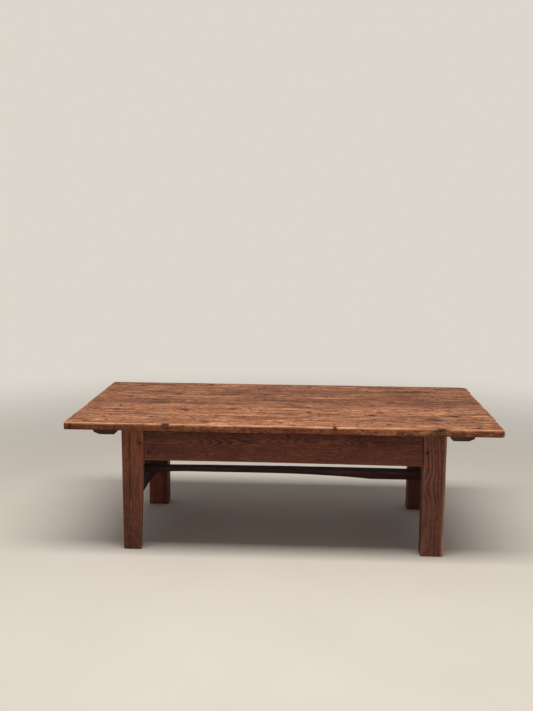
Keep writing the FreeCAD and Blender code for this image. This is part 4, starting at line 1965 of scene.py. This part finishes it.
@dataclass
class Studio:
    """A pale floor, soft light from above and the camera at the photograph's place."""

    floor_radius: float = 14.0
    floor_sides: int = 96
    focal_px: float = 900.0
    frame_px: tuple[int, int] = (533, 711)
    camera_place: tuple[float, float, float] = (0.0893, -3.1226, 1.0746)
    pitch: float = 0.1449
    yaw: float = 0.0505
    roll: float = 0.008
    sensor_mm: float = 36.0
    lamp_size: tuple[float, float] = (4.0, 1.1)
    lamp_place: tuple[float, float, float] = (0.0, -1.15, 3.6)
    lamp_watts: float = 130.0
    backdrop: str = "#dcd6cc"
    sky_light: str = "#d8d8da"
    sky_strength: float = 0.335

    def floor(self) -> None:
        """Lays the floor."""
        mesh = bpy.data.meshes.new("floor")
        turns = [2.0 * math.pi * i / self.floor_sides for i in range(self.floor_sides)]
        rim = [(self.floor_radius * math.cos(t), self.floor_radius * math.sin(t), 0.0) for t in turns]
        mesh.from_pydata(rim, [], [list(range(self.floor_sides))])
        mesh.materials.append(PaleFloor().material(self.backdrop))
        floor = bpy.data.objects.new("floor", mesh)
        bpy.context.scene.collection.objects.link(floor)

    def light(self) -> None:
        """Hangs one broad soft lamp and sets an even sky."""
        lamp = bpy.data.lights.new("overhead_lamp", "AREA")
        lamp.shape = "RECTANGLE"
        lamp.size, lamp.size_y = self.lamp_size
        lamp.energy = self.lamp_watts
        hung = bpy.data.objects.new("overhead_lamp", lamp)
        hung.location = self.lamp_place
        bpy.context.scene.collection.objects.link(hung)
        world = bpy.data.worlds.new("studio")
        world.use_nodes = True
        tree = world.node_tree
        tree.nodes.clear()
        lit = add_node(tree, "Background", {"Color": linear(self.sky_light), "Strength": self.sky_strength})
        seen = add_node(tree, "Background", {"Color": linear(self.backdrop), "Strength": 1.0})
        both = add_node(tree, "MixShader", {0: seen_rays(tree), 1: lit, 2: seen})
        add_node(tree, "OutputWorld", {"Surface": both})
        bpy.context.scene.world = world

    def camera(self) -> None:
        """Sets the camera where the photograph was taken from."""
        look = Matrix(((1, 0, 0), (0, 0, -1), (0, 1, 0)))
        turn = Matrix.Rotation(self.yaw, 3, "Z").transposed()
        tilt = Matrix.Rotation(self.pitch, 3, "X")
        bank = Matrix.Rotation(self.roll, 3, "Z")
        rows = bank @ tilt @ look @ turn
        axes = Matrix((rows[0], -rows[1], -rows[2])).transposed()
        data = bpy.data.cameras.new("camera")
        data.sensor_width = self.sensor_mm
        data.lens = self.focal_px / max(self.frame_px) * self.sensor_mm
        camera = bpy.data.objects.new("camera", data)
        camera.matrix_world = Matrix.Translation(Vector(self.camera_place)) @ axes.to_4x4()
        bpy.context.scene.collection.objects.link(camera)
        bpy.context.scene.camera = camera

    def build(self) -> None:
        """Sets up the studio."""
        self.floor()
        self.light()
        self.camera()
        bpy.context.scene.view_settings.view_transform = "Standard"


def main() -> None:
    """Builds the table and the studio."""
    logging.basicConfig(level=logging.INFO, format="%(message)s")
    for assembly in (PlankTop(), PeggedFrame(), Underframe(), Fastenings(), Studio()):
        assembly.build()


if __name__ == "__main__":
    main()
